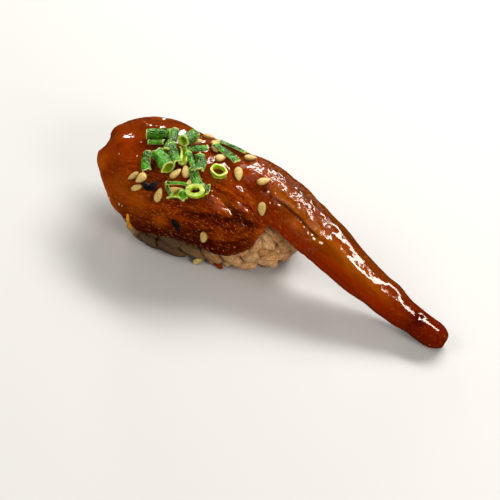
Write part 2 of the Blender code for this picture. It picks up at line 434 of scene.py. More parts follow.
# %% [markdown]
# ## The slice: folds, creases and the vein
#
# The tail's front strip lies over the flap as a fold. Creases run lengthwise over the flap, and
# the vein is a thin furrow down the tail. Each is a row of pixels with a depth and a width in
# millimetres. A depth below 0 stands out: it makes a roll, a lip or a small swelling that
# catches the light, or it fills a hollow, such as the shallow one along the tail's crest, which
# would split the row of highlights in two. Wide soft forms come first, and narrow ones are
# pressed into them.

# %% Press the forms
WIDE_FORMS = [
    # name, row of pixels, depth, width
    ("back left corner", [(113, 131), (117, 127)], -0.8, 2.4),
    ("back rim", [(152, 119), (162, 118), (172, 121)], 0.6, 2.4),
    ("lobe ridge", [(140, 125), (150, 127), (162, 128), (176, 132)], -0.30, 1.5),
    ("flap belly", [(196, 236), (215, 240), (236, 238), (252, 230)], -0.7, 4.0),
    ("flap shoulder", [(150, 222), (168, 226), (186, 224)], -0.45, 2.6),
    ("facet", [(210, 194), (222, 201), (232, 209)], 0.45, 2.6),
    ("lobe dent", [(112, 150), (124, 146), (136, 150), (143, 165)], 0.25, 3.2),
    ("lobe rise", [(118, 172), (126, 192), (134, 206)], -0.25, 3.0),
    ("heap dent", [(150, 150), (165, 165), (178, 178)], 0.35, 4.0),
    ("filled vein", [(266, 191), (283, 205), (297, 216), (312, 230), (324, 243)], -0.18, 0.9),
    ("under the neck", [(398, 321), (406, 326), (414, 332)], 0.9, 1.8),
    ("tail waist", [(341, 222), (332, 231), (324, 240)], 0.35, 1.3),
    ("tail body", [(338, 262), (356, 278), (374, 294)], -0.25, 2.6),
]
NARROW_FORMS = [
    ("fold", [(221, 201), (231, 210), (241, 218), (251, 225), (262, 231)], 0.9, 0.85),
    ("fold lip", [(227, 199), (238, 207), (250, 216), (262, 224), (272, 230)], -0.15, 1.2),
    ("upper crease", [(176, 212), (203, 214), (219, 218), (234, 221), (248, 226)], 0.75, 0.6),
    ("upper roll", [(172, 208), (200, 209), (222, 213), (238, 217)], -0.30, 1.0),
    ("lower crease", [(178, 229), (190, 232), (206, 232), (216, 227)], 0.60, 0.55),
    ("below lower crease", [(180, 234), (192, 236), (206, 237)], -0.25, 0.8),
    ("left crease", [(143, 214), (158, 215), (172, 220)], 0.45, 0.55),
    ("belly crease", [(205, 216), (214, 223), (226, 229), (238, 231)], 0.35, 0.6),
    ("belly patch", [(213, 232), (222, 235)], -0.30, 1.4),
    ("second belly crease", [(228, 238), (240, 235), (250, 229)], 0.35, 0.55),
    ("flap lip", [(186, 241), (204, 246), (220, 250), (238, 250), (252, 243), (262, 233)],
     -0.5, 0.9),
    ("above lip", [(188, 236), (206, 241), (222, 244), (238, 243), (250, 236), (258, 227)],
     0.45, 0.6),
    ("facet side", [(206, 187), (210, 198), (216, 210)], -0.35, 0.7),
    ("facet far side", [(222, 186), (232, 198), (241, 208)], -0.18, 0.8),
    ("facet line", [(213, 190), (221, 199), (230, 208)], 0.20, 0.4),
    ("vein root", [(256, 186), (264, 190), (272, 195)], 0.5, 0.8),
    ("vein", [(270, 195), (283, 205), (297, 216), (312, 232), (324, 243)], 0.22, 0.33),
    ("root fill", [(240, 158), (257, 166), (272, 176), (288, 188), (302, 202)], -0.12, 1.1),
    ("crest fill", [(296, 196), (302, 202), (312, 214), (326, 228), (338, 240), (351, 254),
                    (365, 269), (380, 283), (388, 290)], -0.145, 1.15),
    ("waist fill", [(316, 217), (326, 228), (335, 237), (344, 247)], -0.10, 1.1),
    ("front furrow", [(300, 246), (322, 264), (345, 283), (366, 302)], 0.15, 0.5),
    ("crack", [(315, 213), (316, 222), (317, 231)], 0.22, 0.35),
    ("second crack", [(317, 246), (320, 254)], 0.22, 0.35),
    ("third crack", [(340, 252), (336, 262)], 0.12, 0.35),
    ("lobe crease", [(104, 143), (118, 145), (128, 146)], 0.2, 0.9),
    ("neck", [(424, 309), (421, 317), (417, 326), (413, 333)], 0.45, 0.9),
    ("first gleam", [(143, 124), (149, 129)], -0.5, 1.0),
    ("second gleam", [(152, 125), (161, 127)], -0.5, 0.9),
    ("third gleam", [(170, 128), (177, 132)], -0.5, 0.8),
    ("ringed gleam", [(233, 186), (238, 190), (241, 196)], -0.4, 0.7),
    ("second ringed gleam", [(246, 184), (251, 187), (254, 192)], -0.35, 0.6),
    ("sliver", [(241, 181), (248, 184), (255, 187)], -0.35, 0.45),
    ("tip dent", [(443, 340), (441, 344)], 0.4, 1.0),
]


def pressed(points, forms, tree):
    """How far each point moves out of the skin because of a list of forms."""
    push = np.zeros(len(points))
    for _, pixels, depth, width in forms:
        push -= depth * nearness(points, line_on_slice(pixels, tree), width)
    return push


wide_push = pressed(points, WIDE_FORMS, smooth_tree)
points = points + wide_push[:, None] * normals_of(slice_mesh)
put_points(slice_mesh, points)
push = pressed(points, NARROW_FORMS, tree_of(slice_mesh))
points = points + push[:, None] * normals_of(slice_mesh)
put_points(slice_mesh, points)
print("the deepest press:", round(-push.min(), 2), "mm; the highest rise:", round(push.max(), 2))

# %% [markdown]
# ## The slice: fibres and a wet, uneven skin
#
# Broad soft lumps keep the smooth lobe from looking cast. The flap is fibrous, so there the
# skin gets long thin ridges: random lumps squeezed crosswise, which is noise read in the
# running sizes from above. Ripples and small bumps break up the shine. They are strongest where
# the tail begins, and the lower tail is smooth, so there the highlight stays one long streak.

# %% Add the fine relief
LUMP_SIZE, LUMP_HEIGHT = 7.0, 0.14
RIPPLE_SIZE, RIPPLE_HEIGHT = 3.2, 0.09
BUMP_SIZE, BUMP_HEIGHT = 0.85, 0.050
FIBRE_SIZE, FIBRE_HEIGHT = 0.85, 0.23
FIBRE_STRETCH = 9.0
FIBRE_WANDER = 0.9  # how far the fibres sway from side to side
WANDER_SIZE = 9.0

x = points[:, 0]
on_flap = smooth_step(-5.0, -9.5, around) * smooth_step(-27, -17, x) * smooth_step(19, 14, x)
past_the_root = smooth_step(6, 12, x)
on_tail = smooth_step(12, 20, x)
down_the_tail = smooth_step(26, 31, x)
before_the_tip = smooth_step(52, 46, x)

fibre_points = np.stack([flow[:, 0] / FIBRE_STRETCH, flow[:, 1], flow[:, 2] * 0.15], axis=1)
fibre_points[:, 1] += FIBRE_WANDER * lumps(points, WANDER_SIZE, seed=5)
ridges = 1 - 2 * np.abs(lumps(fibre_points, FIBRE_SIZE, seed=3, octaves=3))
ripple_share = (1 + on_flap + 0.8 * on_tail * (1 - down_the_tail)
                - 0.8 * down_the_tail * before_the_tip)
bump_share = 0.8 + 0.3 * on_flap + 1.1 * past_the_root - 1.4 * down_the_tail
relief = LUMP_HEIGHT * lumps(points, LUMP_SIZE, seed=1)
relief += RIPPLE_HEIGHT * lumps(points, RIPPLE_SIZE, seed=2) * ripple_share
relief += BUMP_HEIGHT * lumps(points, BUMP_SIZE, seed=4) * bump_share
relief += FIBRE_HEIGHT * ridges * on_flap
points = points + relief[:, None] * normals_of(slice_mesh)
points[:, 2] = np.maximum(points[:, 2], CLEAR_OF_FLOOR)
put_points(slice_mesh, points)
print("relief from", round(relief.min(), 2), "to", round(relief.max(), 2), "mm")

# %% [markdown]
# ## The slice: where it is thin, dark, fibrous or dull
#
# Glaze looks dark where it gathers in a crease, and painted shade darkens the creases, the fold, the
# lower flap and the back of the left end further. A painted glow makes a thin edge and the tail's
# front edge orange, painted light brightens the lobe's lower left, and painted glints and brighter
# patches stand for small highlights. On the crest the film of glaze has worn thin in places, where it
# doesn't shine. Some of these places follow from the shape, such as how far it is through the slice to
# its other side. Others are rows of pixels again. All are kept on the mesh as attributes for the
# material to read.


# %% Keep numbers on a mesh
def keep_value(mesh, name, values):
    """Stores one number for each point."""
    attribute = mesh.attributes.new(name, "FLOAT", "POINT")
    attribute.data.foreach_set("value", np.asarray(values, np.float32))


def keep_vector(mesh, name, values):
    """Stores one vector for each point."""
    attribute = mesh.attributes.new(name, "FLOAT_VECTOR", "POINT")
    attribute.data.foreach_set("vector", np.asarray(values, np.float32).ravel())


print("two kinds of attribute ready")

# %% How thick the slice is at each point
THICKEST = 6.0  # no sight through the slice is followed further
JUST_INSIDE = 0.05

slice_tree = tree_of(slice_mesh)
facing = normals_of(slice_mesh)
depth_behind = np.full(len(points), THICKEST)
for i, (spot, way) in enumerate(zip(points, facing)):
    inwards = -Vector(way)
    start = Vector(spot) * MM + inwards * JUST_INSIDE * MM
    _, _, _, reach = slice_tree.ray_cast(start, inwards, THICKEST * MM)
    if reach is not None:
        depth_behind[i] = reach / MM
print("thinnest:", round(depth_behind.min(), 2), "mm; median:",
      round(float(np.median(depth_behind)), 2))

# %% Keep the masks on the mesh
FRONT_EDGE_X = [14, 22, 28, 33, 38, 47, 60]
FRONT_EDGE = [-6.5, -5.0, -4.2, -2.9, -2.5, -1.9, -1.5]  # how far round the tail's front edge is
to_front = around / np.interp(x, FRONT_EDGE_X, FRONT_EDGE)
SPOT_FADE = 3.0
SPOTS = {
    # what is there: rows of pixels, each with its width in millimetres
    "vein": [([(262, 190), (271, 196), (283, 204), (297, 216), (312, 232), (324, 243)], 0.32)],
    "vein_shade": [([(318, 238), (334, 254), (350, 270)], 1.0), ([(256, 186), (272, 196)], 1.1),
                   ([(243, 174), (253, 184), (264, 196)], 2.4)],
    "skin_line": [([(268, 167), (282, 176), (298, 189), (314, 204), (332, 221), (348, 237),
                    (362, 251)], 0.35)],
    # painted light: the lobe's lower left made brighter, as if light from the front left fell on it
    "lobe_low_light": [([(110, 174), (117, 186), (128, 196), (140, 201), (152, 201)], 3.2)],
    # brighter patches of clearer glaze; on the flap's lower left they are painted glitter of small
    # highlights
    "clear": [([(212, 194), (220, 201), (229, 209)], 1.7), ([(148, 218), (160, 221), (172, 224)], 1.5),
              ([(216, 233), (226, 238)], 1.5), ([(286, 214), (294, 224), (304, 232)], 1.2)],
    # painted shade: the fold, under the creases, along the flap's lip and in the neck
    "deep": [([(226, 210), (243, 224), (258, 231)], 1.7), ([(180, 215), (205, 217), (225, 222)], 0.7),
             ([(188, 245), (215, 250), (240, 248), (258, 235)], 1.5), ([(180, 231), (206, 234)], 0.7),
             ([(421, 310), (417, 320), (413, 331)], 1.8)],
    "dull": [([(262, 180), (268, 166)], 0.7), ([(286, 198), (292, 184)], 0.6),
             ([(312, 222), (322, 214)], 0.6), ([(322, 238), (336, 226)], 0.7),
             ([(203, 196), (216, 204), (226, 212)], 1.2),
             ([(236, 201), (243, 208), (249, 214)], 1.2)],
    # painted glow of light shining through the lobe's left edge
    "edge_glow": [([(98, 155), (101, 163), (105, 173)], 1.7), ([(104, 184), (110, 199)], 1.1)],
}
MASKS = {
    # the steps are between millimetres: x lengthwise, around from the crest, y towards the back
    # painted glow: thin parts made orange, for light that shines through them
    "thin": smooth_step(3.6, 0.8, depth_behind) * (1 - 0.8 * smooth_step(5, 9, points[:, 1])),
    "fibrous": (smooth_step(-3.0, -7.0, around) * smooth_step(-27, -17, x)
                * smooth_step(20, 15, x)),
    # where painted glints go: small highlights painted pale, on the flap and the tail's root
    "glinting": np.maximum(
        smooth_step(-3.0, -7.0, around) * smooth_step(-24, -6, x) * smooth_step(20, 15, x),
        0.8 * past_the_root * smooth_step(30, 22, x) * smooth_step(-1.5, -4.0, around)),
    # painted shade in the creases, over the real darkening of glaze that gathers there
    "gathered_and_shaded": np.clip(-push / 0.5, 0, 1),
    "tail": on_tail,
    "patchy": (smooth_step(5, 10, x) * (1 - down_the_tail)
               * smooth_step(-4.5, -2.5, around) * smooth_step(4.5, 3.2, around)),
    # painted glow of light shining through the tail's front edge
    "tail_glow": on_tail * smooth_step(0.50, 1.0, to_front),
    "tail_amber": on_tail * np.exp(-(((around + 1.2) / 1.5) ** 2)) * smooth_step(52, 38, x),
    "tail_back": smooth_step(6, 14, x) * smooth_step(0.2, 1.5, around),
    "heart": np.exp(-((((points - np.array([-9, 0, 20])) / (11, 7, 7)) ** 2).sum(axis=1))),
    "tip_red": smooth_step(42, 56, x),
    # painted shade: the back of the slice's left end, darkened against the strong light from behind
    "back_shade": smooth_step(4, 9, points[:, 1]) * smooth_step(8, 0, x),
    # painted shade on the lower flap
    "low_flap_shade": (smooth_step(-12.0, -17.5, around) * smooth_step(-26, -14, x)
                 * smooth_step(18, 15, x)),
    "lively": 1 - 0.65 * smooth_step(27, 31, x) * smooth_step(50, 44, x),  # share of fine bumps
}
keep_vector(slice_mesh, "flow", flow)
for name, values in MASKS.items():
    keep_value(slice_mesh, name, values)
for name, rows in SPOTS.items():
    spots = [nearness(points, line_on_slice(pixels, slice_tree), width, SPOT_FADE)
             for pixels, width in rows]
    keep_value(slice_mesh, name, np.max(spots, axis=0))
print("masks on the slice:", len(MASKS), "from its shape and", len(SPOTS), "from pixels")

# %% [markdown]
# ## Effects that several materials share
#
# A shader node group is made once and used with other values in each material. `mottling`
# gives a soft cloudy mask, and `wet_bumps` gives the height of small bumps in a wet skin. Both
# read a place in metres and turn it into millimetres first, so their sizes are real sizes.


# %% Helpers for materials
def new_group(name, inputs, outputs):
    """A shader node group with number inputs, a Place input and named number outputs."""
    group = bpy.data.node_groups.new(name, "ShaderNodeTree")
    group.interface.new_socket("Place", in_out="INPUT", socket_type="NodeSocketVector")
    for label, value in inputs:
        socket = group.interface.new_socket(label, in_out="INPUT", socket_type="NodeSocketFloat")
        socket.default_value = value
    for label in outputs:
        group.interface.new_socket(label, in_out="OUTPUT", socket_type="NodeSocketFloat")
    return group, group.nodes.new("NodeGroupInput"), group.nodes.new("NodeGroupOutput")


def math_node(tree, operation, first, second=None):
    """A Math node whose inputs are sockets or plain numbers. Returns its output."""
    node = tree.nodes.new("ShaderNodeMath")
    node.operation = operation
    for socket, value in zip(node.inputs, (first, second)):
        if isinstance(value, (int, float)):
            socket.default_value = value
        elif value is not None:
            tree.links.new(value, socket)
    return node.outputs[0]


def noise_node(tree, place, scale, detail=2.0, roughness=0.5, distortion=0.0):
    """A Noise Texture. The scale is a number or a socket. Returns its output."""
    node = tree.nodes.new("ShaderNodeTexNoise")
    tree.links.new(place, node.inputs["Vector"])
    if isinstance(scale, (int, float)):
        node.inputs["Scale"].default_value = scale
    else:
        tree.links.new(scale, node.inputs["Scale"])
    node.inputs["Detail"].default_value = detail
    node.inputs["Roughness"].default_value = roughness
    node.inputs["Distortion"].default_value = distortion
    return node.outputs["Fac"]


def spread(tree, value, low, high):
    """Stretches the values between low and high to 0 and 1, softly. Returns the output."""
    node = tree.nodes.new("ShaderNodeMapRange")
    node.interpolation_type = "SMOOTHSTEP"
    node.inputs["From Min"].default_value = low
    node.inputs["From Max"].default_value = high
    tree.links.new(value, node.inputs["Value"])
    return node.outputs["Result"]


print("material helpers ready")

# %% The shared groups
mottling, start, end = new_group("mottling", [("Size", 3.0), ("Low", 0.4), ("High", 0.62)],
                                 ["Mask"])
per_metre = math_node(mottling, "DIVIDE", 1000.0, start.outputs["Size"])
cloud = noise_node(mottling, start.outputs["Place"], per_metre, 4.0, 0.55)
above = math_node(mottling, "SUBTRACT", cloud, start.outputs["Low"])
room = math_node(mottling, "SUBTRACT", start.outputs["High"], start.outputs["Low"])
share = math_node(mottling, "DIVIDE", above, room)
floor_share = math_node(mottling, "MAXIMUM", share, 0.0)
mottling.links.new(math_node(mottling, "MINIMUM", floor_share, 1.0), end.inputs["Mask"])

wet_bumps, start, end = new_group("wet_bumps", [("Size", 0.5), ("Fine", 0.4)], ["Height"])
per_metre = math_node(wet_bumps, "DIVIDE", 1000.0, start.outputs["Size"])
broad = noise_node(wet_bumps, start.outputs["Place"], per_metre, 2.0, 0.5)
fine_scale = math_node(wet_bumps, "MULTIPLY", per_metre, 3.1)
fine = noise_node(wet_bumps, start.outputs["Place"], fine_scale, 2.0, 0.5)
fine_part = math_node(wet_bumps, "MULTIPLY", fine, start.outputs["Fine"])
wet_bumps.links.new(math_node(wet_bumps, "ADD", broad, fine_part), end.inputs["Height"])
print("groups:", [group.name for group in bpy.data.node_groups])


# %% More helpers for materials
def new_material(name):
    """An empty material: its tree, its shader and the place on the piece in metres."""
    material = bpy.data.materials.new(name)
    material.use_nodes = True
    tree = material.node_tree
    place = tree.nodes.new("ShaderNodeTexCoord").outputs["Object"]
    return material, tree, tree.nodes["Principled BSDF"], place


def set_plain(shader, **values):
    """Sets the shader's own sockets. An underscore in a name stands for a space."""
    for label, value in values.items():
        shader.inputs[label.replace("_", " ")].default_value = value


def use_group(tree, group, place, **values):
    """Places a shared group in a material with its own values. Returns its output."""
    node = tree.nodes.new("ShaderNodeGroup")
    node.node_tree = group
    tree.links.new(place, node.inputs["Place"])
    for label, value in values.items():
        node.inputs[label].default_value = value
    return node.outputs[0]


def read_value(tree, name):
    """The number that a mesh keeps under a name."""
    node = tree.nodes.new("ShaderNodeAttribute")
    node.attribute_name = name
    return node.outputs["Fac"]


def mixed(tree, share, first, second):
    """One colour turning into another. Each is a socket or three numbers. Returns the output."""
    node = tree.nodes.new("ShaderNodeMix")
    node.data_type = "RGBA"
    tree.links.new(share, node.inputs["Factor"])
    for socket, colour in zip([s for s in node.inputs if s.type == "RGBA"], (first, second)):
        if isinstance(colour, tuple):
            socket.default_value = (*colour, 1)
        else:
            tree.links.new(colour, socket)
    return next(s for s in node.outputs if s.type == "RGBA")


def layered(tree, shader, colour, layers):
    """Lays colours over a first one, one after the other, and feeds the result to the shader.

    A layer has a mask, how much of the mask counts, its colour, and maybe a second mask. A mask
    is a socket or the name of a number that the mesh keeps.
    """
    for first_mask, share, over, *second_mask in layers:
        for mask in (first_mask, *second_mask):
            if isinstance(mask, str):
                mask = read_value(tree, mask)
            share = math_node(tree, "MULTIPLY", mask, share)
        colour = mixed(tree, share, colour, over)
    tree.links.new(colour, shader.inputs["Base Color"])


def bump(tree, shader, height, millimetres):
    """Feeds a height into the shader's normal."""
    node = tree.nodes.new("ShaderNodeBump")
    node.inputs["Distance"].default_value = millimetres * MM
    node.inputs["Strength"].default_value = 1.0
    tree.links.new(height, node.inputs["Height"])
    tree.links.new(node.outputs["Normal"], shader.inputs["Normal"])


def read_place(tree, name, squeeze=None):
    """The vector that a mesh keeps under a name, with its three parts scaled if need be."""
    node = tree.nodes.new("ShaderNodeAttribute")
    node.attribute_name = name
    if squeeze is None:
        return node.outputs["Vector"]
    mapping = tree.nodes.new("ShaderNodeMapping")
    mapping.inputs["Scale"].default_value = squeeze
    tree.links.new(node.outputs["Vector"], mapping.inputs["Vector"])
    return mapping.outputs["Vector"]


print("more helpers ready")

# %% [markdown]
# ## Material: soy glaze over a translucent slice
#
# The slice is deep amber, red-brown where it is thick. Light goes a little way in, so the shader has
# some subsurface, and a painted orange glow at the thin edges and along the tail's front edge stands
# for the light that shines through. The wet glaze over it is smooth, so it has a low roughness and a
# tight, faintly warm shine, but for the dull patches on the crest. Fine lengthwise streaks show under
# it, most of all on the flap and the tail. The colours are laid one over the other, as a painter
# would, each through its own mask; some of them are painted shade, painted light and painted glints.

# %% The glaze
DEEP_RED = (0.095, 0.0035, 0.0001)
AMBER = (0.250, 0.0310, 0.0002)
ORANGE = (0.56, 0.105, 0.0010)
OCHRE = (0.29, 0.076, 0.0006)
GLOWING_RED = (0.27, 0.019, 0.0001)
BLOOD_RED = (0.042, 0.0015, 0.0001)
BRIGHT_AMBER = (0.40, 0.078, 0.0015)
BACK_BROWN = (0.12, 0.022, 0.0003)
PALE_AMBER = (0.62, 0.19, 0.035)
SOOT = (0.014, 0.0045, 0.0008)

glaze, tree, shader, place = new_material("soy_glaze")
along_grain = read_place(tree, "flow", (0.12, 1.0, 0.12))
short_grain = read_place(tree, "flow", (0.35, 1.0, 0.35))
streaks = spread(tree, noise_node(tree, along_grain, 1.3, 4.0, 0.65, 0.5), 0.38, 0.60)
threads = noise_node(tree, along_grain, 3.6, 3.0, 0.6, 0.8)
pale_threads = spread(tree, threads, 0.54, 0.60)
# painted glints: a sparse pattern of small pale specks along the fibres
glints = spread(tree, noise_node(tree, short_grain, 3.6, 3.0, 0.6, 0.6), 0.60, 0.65)
clouds = use_group(tree, mottling, place, Size=6.0, Low=0.36, High=0.66)
flecks = use_group(tree, mottling, place, Size=0.8, Low=0.56, High=0.70)
clearings = use_group(tree, mottling, place, Size=4.0, Low=0.46, High=0.60)
layered(tree, shader, AMBER, [
    # mask, how much of it counts, the colour that comes over what is there, second mask
    (clouds, 0.40, DEEP_RED),
    (streaks, 0.95, DEEP_RED, "fibrous"),
    (clearings, 0.15, BRIGHT_AMBER, "fibrous"),
    ("tail_amber", 0.80, OCHRE),
    (streaks, 0.45, DEEP_RED, "tail"),
    # painted glow along the tail's front edge
    ("tail_glow", 0.85, GLOWING_RED),
    ("tail_back", 0.85, BACK_BROWN),
    ("tip_red", 0.80, DEEP_RED),
    ("heart", 0.65, DEEP_RED),
    # painted light on the lobe's lower left
    ("lobe_low_light", 0.62, BRIGHT_AMBER),
    (flecks, 0.35, OCHRE),
    # painted shade in the creases, over glaze that gathers there
    ("gathered_and_shaded", 0.85, BLOOD_RED),
    # painted glow at the thin edges
    ("thin", 0.80, ORANGE),
    (pale_threads, 0.36, BRIGHT_AMBER, "fibrous"),
    # painted shade in the fold, the creases, the lip and the neck
    ("deep", 0.80, BLOOD_RED),
    # painted shade on the lower flap
    ("low_flap_shade", 0.98, BLOOD_RED),
    # brighter patches of clearer glaze, and painted glitter on the flap's lower left
    ("clear", 0.70, BRIGHT_AMBER),
    # painted glints: small highlights painted pale
    (glints, 0.55, PALE_AMBER, "glinting"),
    # painted glow at the lobe's left edge
    ("edge_glow", 0.60, ORANGE),
    ("vein_shade", 0.50, DEEP_RED),
    # painted shade on the back of the left end
    ("back_shade", 0.35, BACK_BROWN),
    ("skin_line", 0.55, SOOT),
    ("vein", 0.85, SOOT),
])

# %% The glaze's skin and shine
WET_ROUGHNESS = 0.08
DULL_ROUGHNESS = 0.95

rough_skin = use_group(tree, wet_bumps, place, Size=0.8, Fine=0.10)
skin = math_node(tree, "MULTIPLY", rough_skin, read_value(tree, "lively"))
thread_share = math_node(tree, "MULTIPLY", read_value(tree, "fibrous"), 0.5)
thread_height = math_node(tree, "MULTIPLY", threads, thread_share)
bump(tree, shader, math_node(tree, "ADD", skin, thread_height), 0.040)
patches = use_group(tree, mottling, place, Size=1.7, Low=0.50, High=0.525)
dullness = math_node(tree, "MAXIMUM", spread(tree, read_value(tree, "dull"), 0.30, 0.45),
                     math_node(tree, "MULTIPLY", patches, read_value(tree, "patchy")))
extra_roughness = math_node(tree, "MULTIPLY", dullness, DULL_ROUGHNESS - WET_ROUGHNESS)
roughness = math_node(tree, "ADD", extra_roughness, WET_ROUGHNESS)
tree.links.new(roughness, shader.inputs["Roughness"])
set_plain(shader, IOR=1.55, Specular_IOR_Level=0.5, Specular_Tint=(1.0, 0.92, 0.82, 1),
          Subsurface_Weight=0.30, Subsurface_Radius=(1.0, 0.22, 0.03), Subsurface_Scale=1.1 * MM)
slice_mesh.materials.append(glaze)
print("the glaze has", len(tree.nodes), "nodes")

# %% [markdown]
# ## The rice: a core under the grains
#
# Boiled grains stick together, and only their outer layers show. So a core a little smaller
# than the loaf fills the inside and is never seen but as the dark bottom of a gap. It follows
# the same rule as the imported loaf: a rounded box, widest a little above the floor.

# %% The loaf's rule
LOAF_LENGTH = 44.0
LOAF_WIDTH = 24.0
LOAF_HEIGHT = 17.0
LOAF_BELLY = 6.5  # the height at which the loaf is widest
LOAF_UNDERCUT = 5.0
PLAN_SQUARENESS = 3.0
SIDE_SQUARENESS = 2.4
FRONT_LEFT_SWELL = 1.5
CORE_INSET = 3.0  # how far the core lies under the loaf's outline
loaf_middle = Vector((0, 0, LOAF_BELLY))


def loaf_point(direction, inset):
    """Where a direction from the loaf's middle meets a surface under its outline."""
    x, y, z = direction
    half_height = LOAF_HEIGHT - LOAF_BELLY if z > 0 else LOAF_BELLY + LOAF_UNDERCUT
    plan = (abs(2 * x / LOAF_LENGTH) ** PLAN_SQUARENESS
            + abs(2 * y / LOAF_WIDTH) ** PLAN_SQUARENESS) ** (1 / PLAN_SQUARENESS)
    level = (plan ** SIDE_SQUARENESS + abs(z / half_height) ** SIDE_SQUARENESS) ** (
        1 / SIDE_SQUARENESS)
    reach = 1 / level - inset / Vector(direction).length
    reach += FRONT_LEFT_SWELL * 2 * max(0, -x) * max(0, -y)
    if z < 0:
        reach = min(reach, (LOAF_BELLY - inset) / -z)
    return loaf_middle + reach * Vector(direction)


def loaf_mesh(name, inset, subdivisions):
    """A closed skin a number of millimetres under the loaf's outline."""
    skin = bmesh.new()
    bmesh.ops.create_icosphere(skin, subdivisions=subdivisions, radius=1)
    for vertex in skin.verts:
        x, y, z = vertex.co
        way = Vector((x * LOAF_LENGTH, y * LOAF_WIDTH, z * LOAF_HEIGHT))
        vertex.co = loaf_point(way.normalized(), inset) * MM
    return mesh_of(skin, name)


core_mesh = loaf_mesh("rice_core", CORE_INSET, 5)
rice_core = add_object("rice_core", core_mesh)
print("the core has", len(core_mesh.polygons), "triangles")

# %% [markdown]
# ## The rice: plump grains
#
# A boiled grain is a plump bean, about 7.5 mm long, blunt at both ends, a little bent, with
# shallow lengthwise dents. Six kinds of it are enough, as each one is also turned and sized.

# %% One plump grain
GRAIN_SIZE = (6.8, 3.2, 2.95)
GRAIN_SQUEEZE = (0.28, 1, 1)  # makes its wrinkles run lengthwise


def grain_mesh(name, seed, rings, sides):
    """A boiled grain that lies along X."""
    random = np.random.default_rng(seed)
    bend = random.uniform(-0.07, 0.07)
    fat_end = random.uniform(-0.16, 0.16)
    swell = random.uniform(0.94, 1.06)
    grain = ball(sides, rings, 0.5)
    shift = Vector(random.uniform(-50, 50, 3))
    for vertex in grain.verts:
        long, wide, deep = vertex.co.z * 2, vertex.co.x * 2, vertex.co.y * 2
        spot = Vector((long * 0.9, wide * 1.6, deep * 1.6)) + shift
        dents = 0.20 * noise.noise(spot) + 0.12 * noise.noise(spot * 2.3)
        girth = (1 + fat_end * long) * (1 + dents) * swell
        girth *= (1 - long * long + 1e-6) ** -0.12  # a straighter side and a blunter end
        vertex.co = Vector((
            GRAIN_SIZE[0] / 2 * long,
            GRAIN_SIZE[1] / 2 * (wide * girth + bend * (1 - 3 * long * long)),
            GRAIN_SIZE[2] / 2 * deep * girth,
        )) * MM
    mesh = mesh_of(grain, name)
    keep_vector(mesh, "grain_place", points_of(mesh) * GRAIN_SQUEEZE + 7 * seed)
    return mesh


GRAIN_KINDS = 6
outer_kinds = [grain_mesh(f"grain_kind_{kind}", kind, 12, 14) for kind in range(GRAIN_KINDS)]
inner_kinds = [grain_mesh(f"deep_kind_{kind}", kind, 7, 8) for kind in range(GRAIN_KINDS)]
print("a grain has", len(outer_kinds[0].polygons), "faces outside and",
      len(inner_kinds[0].polygons), "below")

# %% [markdown]
# ## The rice: grains that make room for each other
#
# Grains that are only scattered run through each other and look like scales. So each grain
# starts somewhere at random and is then pushed clear of its neighbours in small steps, while
# both its ends stay on the loaf. A grain is checked at a few places along its axis. The grains
# that the picture shows best are laid first, by the pixels of their two ends, and stay where
# they are. A second, deeper layer fills the gaps.

# %% Grains laid one by one
SHOWN_GRAINS = [
    # the pixels of the two ends of a grain's axis
    ((137, 228), (134, 236)),
    ((144, 236), (154, 242)),
    ((164, 243), (181, 252)),
    ((186, 246), (202, 254)),
    ((207, 250), (218, 258)),
    ((226, 254), (240, 262)),
    ((238, 250), (250, 246)),
    ((239, 263), (250, 263)),
    ((248, 256), (256, 252)),
    ((254, 246), (259, 241)),
    ((266, 255), (284, 252)),
    ((261, 259), (272, 259)),
    ((264, 238), (271, 247)),
    ((270, 231), (280, 238)),
    ((282, 240), (284, 247)),
    ((289, 242), (293, 248)),
]
CHECKED_AT = np.array([-1.0, -0.35, 0.35, 1.0])  # from one end of the axis to the other
AXIS_HALF = 1.85  # from a grain's middle to the centre of its rounded end
SHOWN_SINK = 0.80  # how deep the axes of the listed grains lie under the loaf's outline
OUTER_SINK = 1.20
INNER_SINK = 3.4
loaf_tree = tree_of(loaf_mesh("loaf_shell", SHOWN_SINK, 4))


def seen_on_loaf(pixel):
    """The place on the grains' shell behind a pixel, in millimetres."""
    point, _, _, _ = loaf_tree.ray_cast(camera.location, sight(pixel))
    if point is None:
        towards = camera.location + sight(pixel) * (LOOKED_AT - camera.location).length
        point, _, _, _ = loaf_tree.find_nearest(towards)
    return np.array(point[:]) / MM


shown = np.array([[seen_on_loaf(a), seen_on_loaf(b)] for a, b in SHOWN_GRAINS])
print("laid by hand:", len(shown), "grains, with axes of",
      np.round(np.linalg.norm(shown[:, 1] - shown[:, 0], axis=1), 1), "mm")


# %% Push the others clear
PACKING_STEPS = 110
PUSH_SHARE = 0.16  # how much of an overlap one step takes away
CLOSEST = 2.9  # how near two axes may come


def with_length(ends):
    """The same axes with their proper length."""
    middle = ends.mean(axis=1, keepdims=True)
    half = ends - middle
    return middle + half * (AXIS_HALF / np.linalg.norm(half, axis=2, keepdims=True))


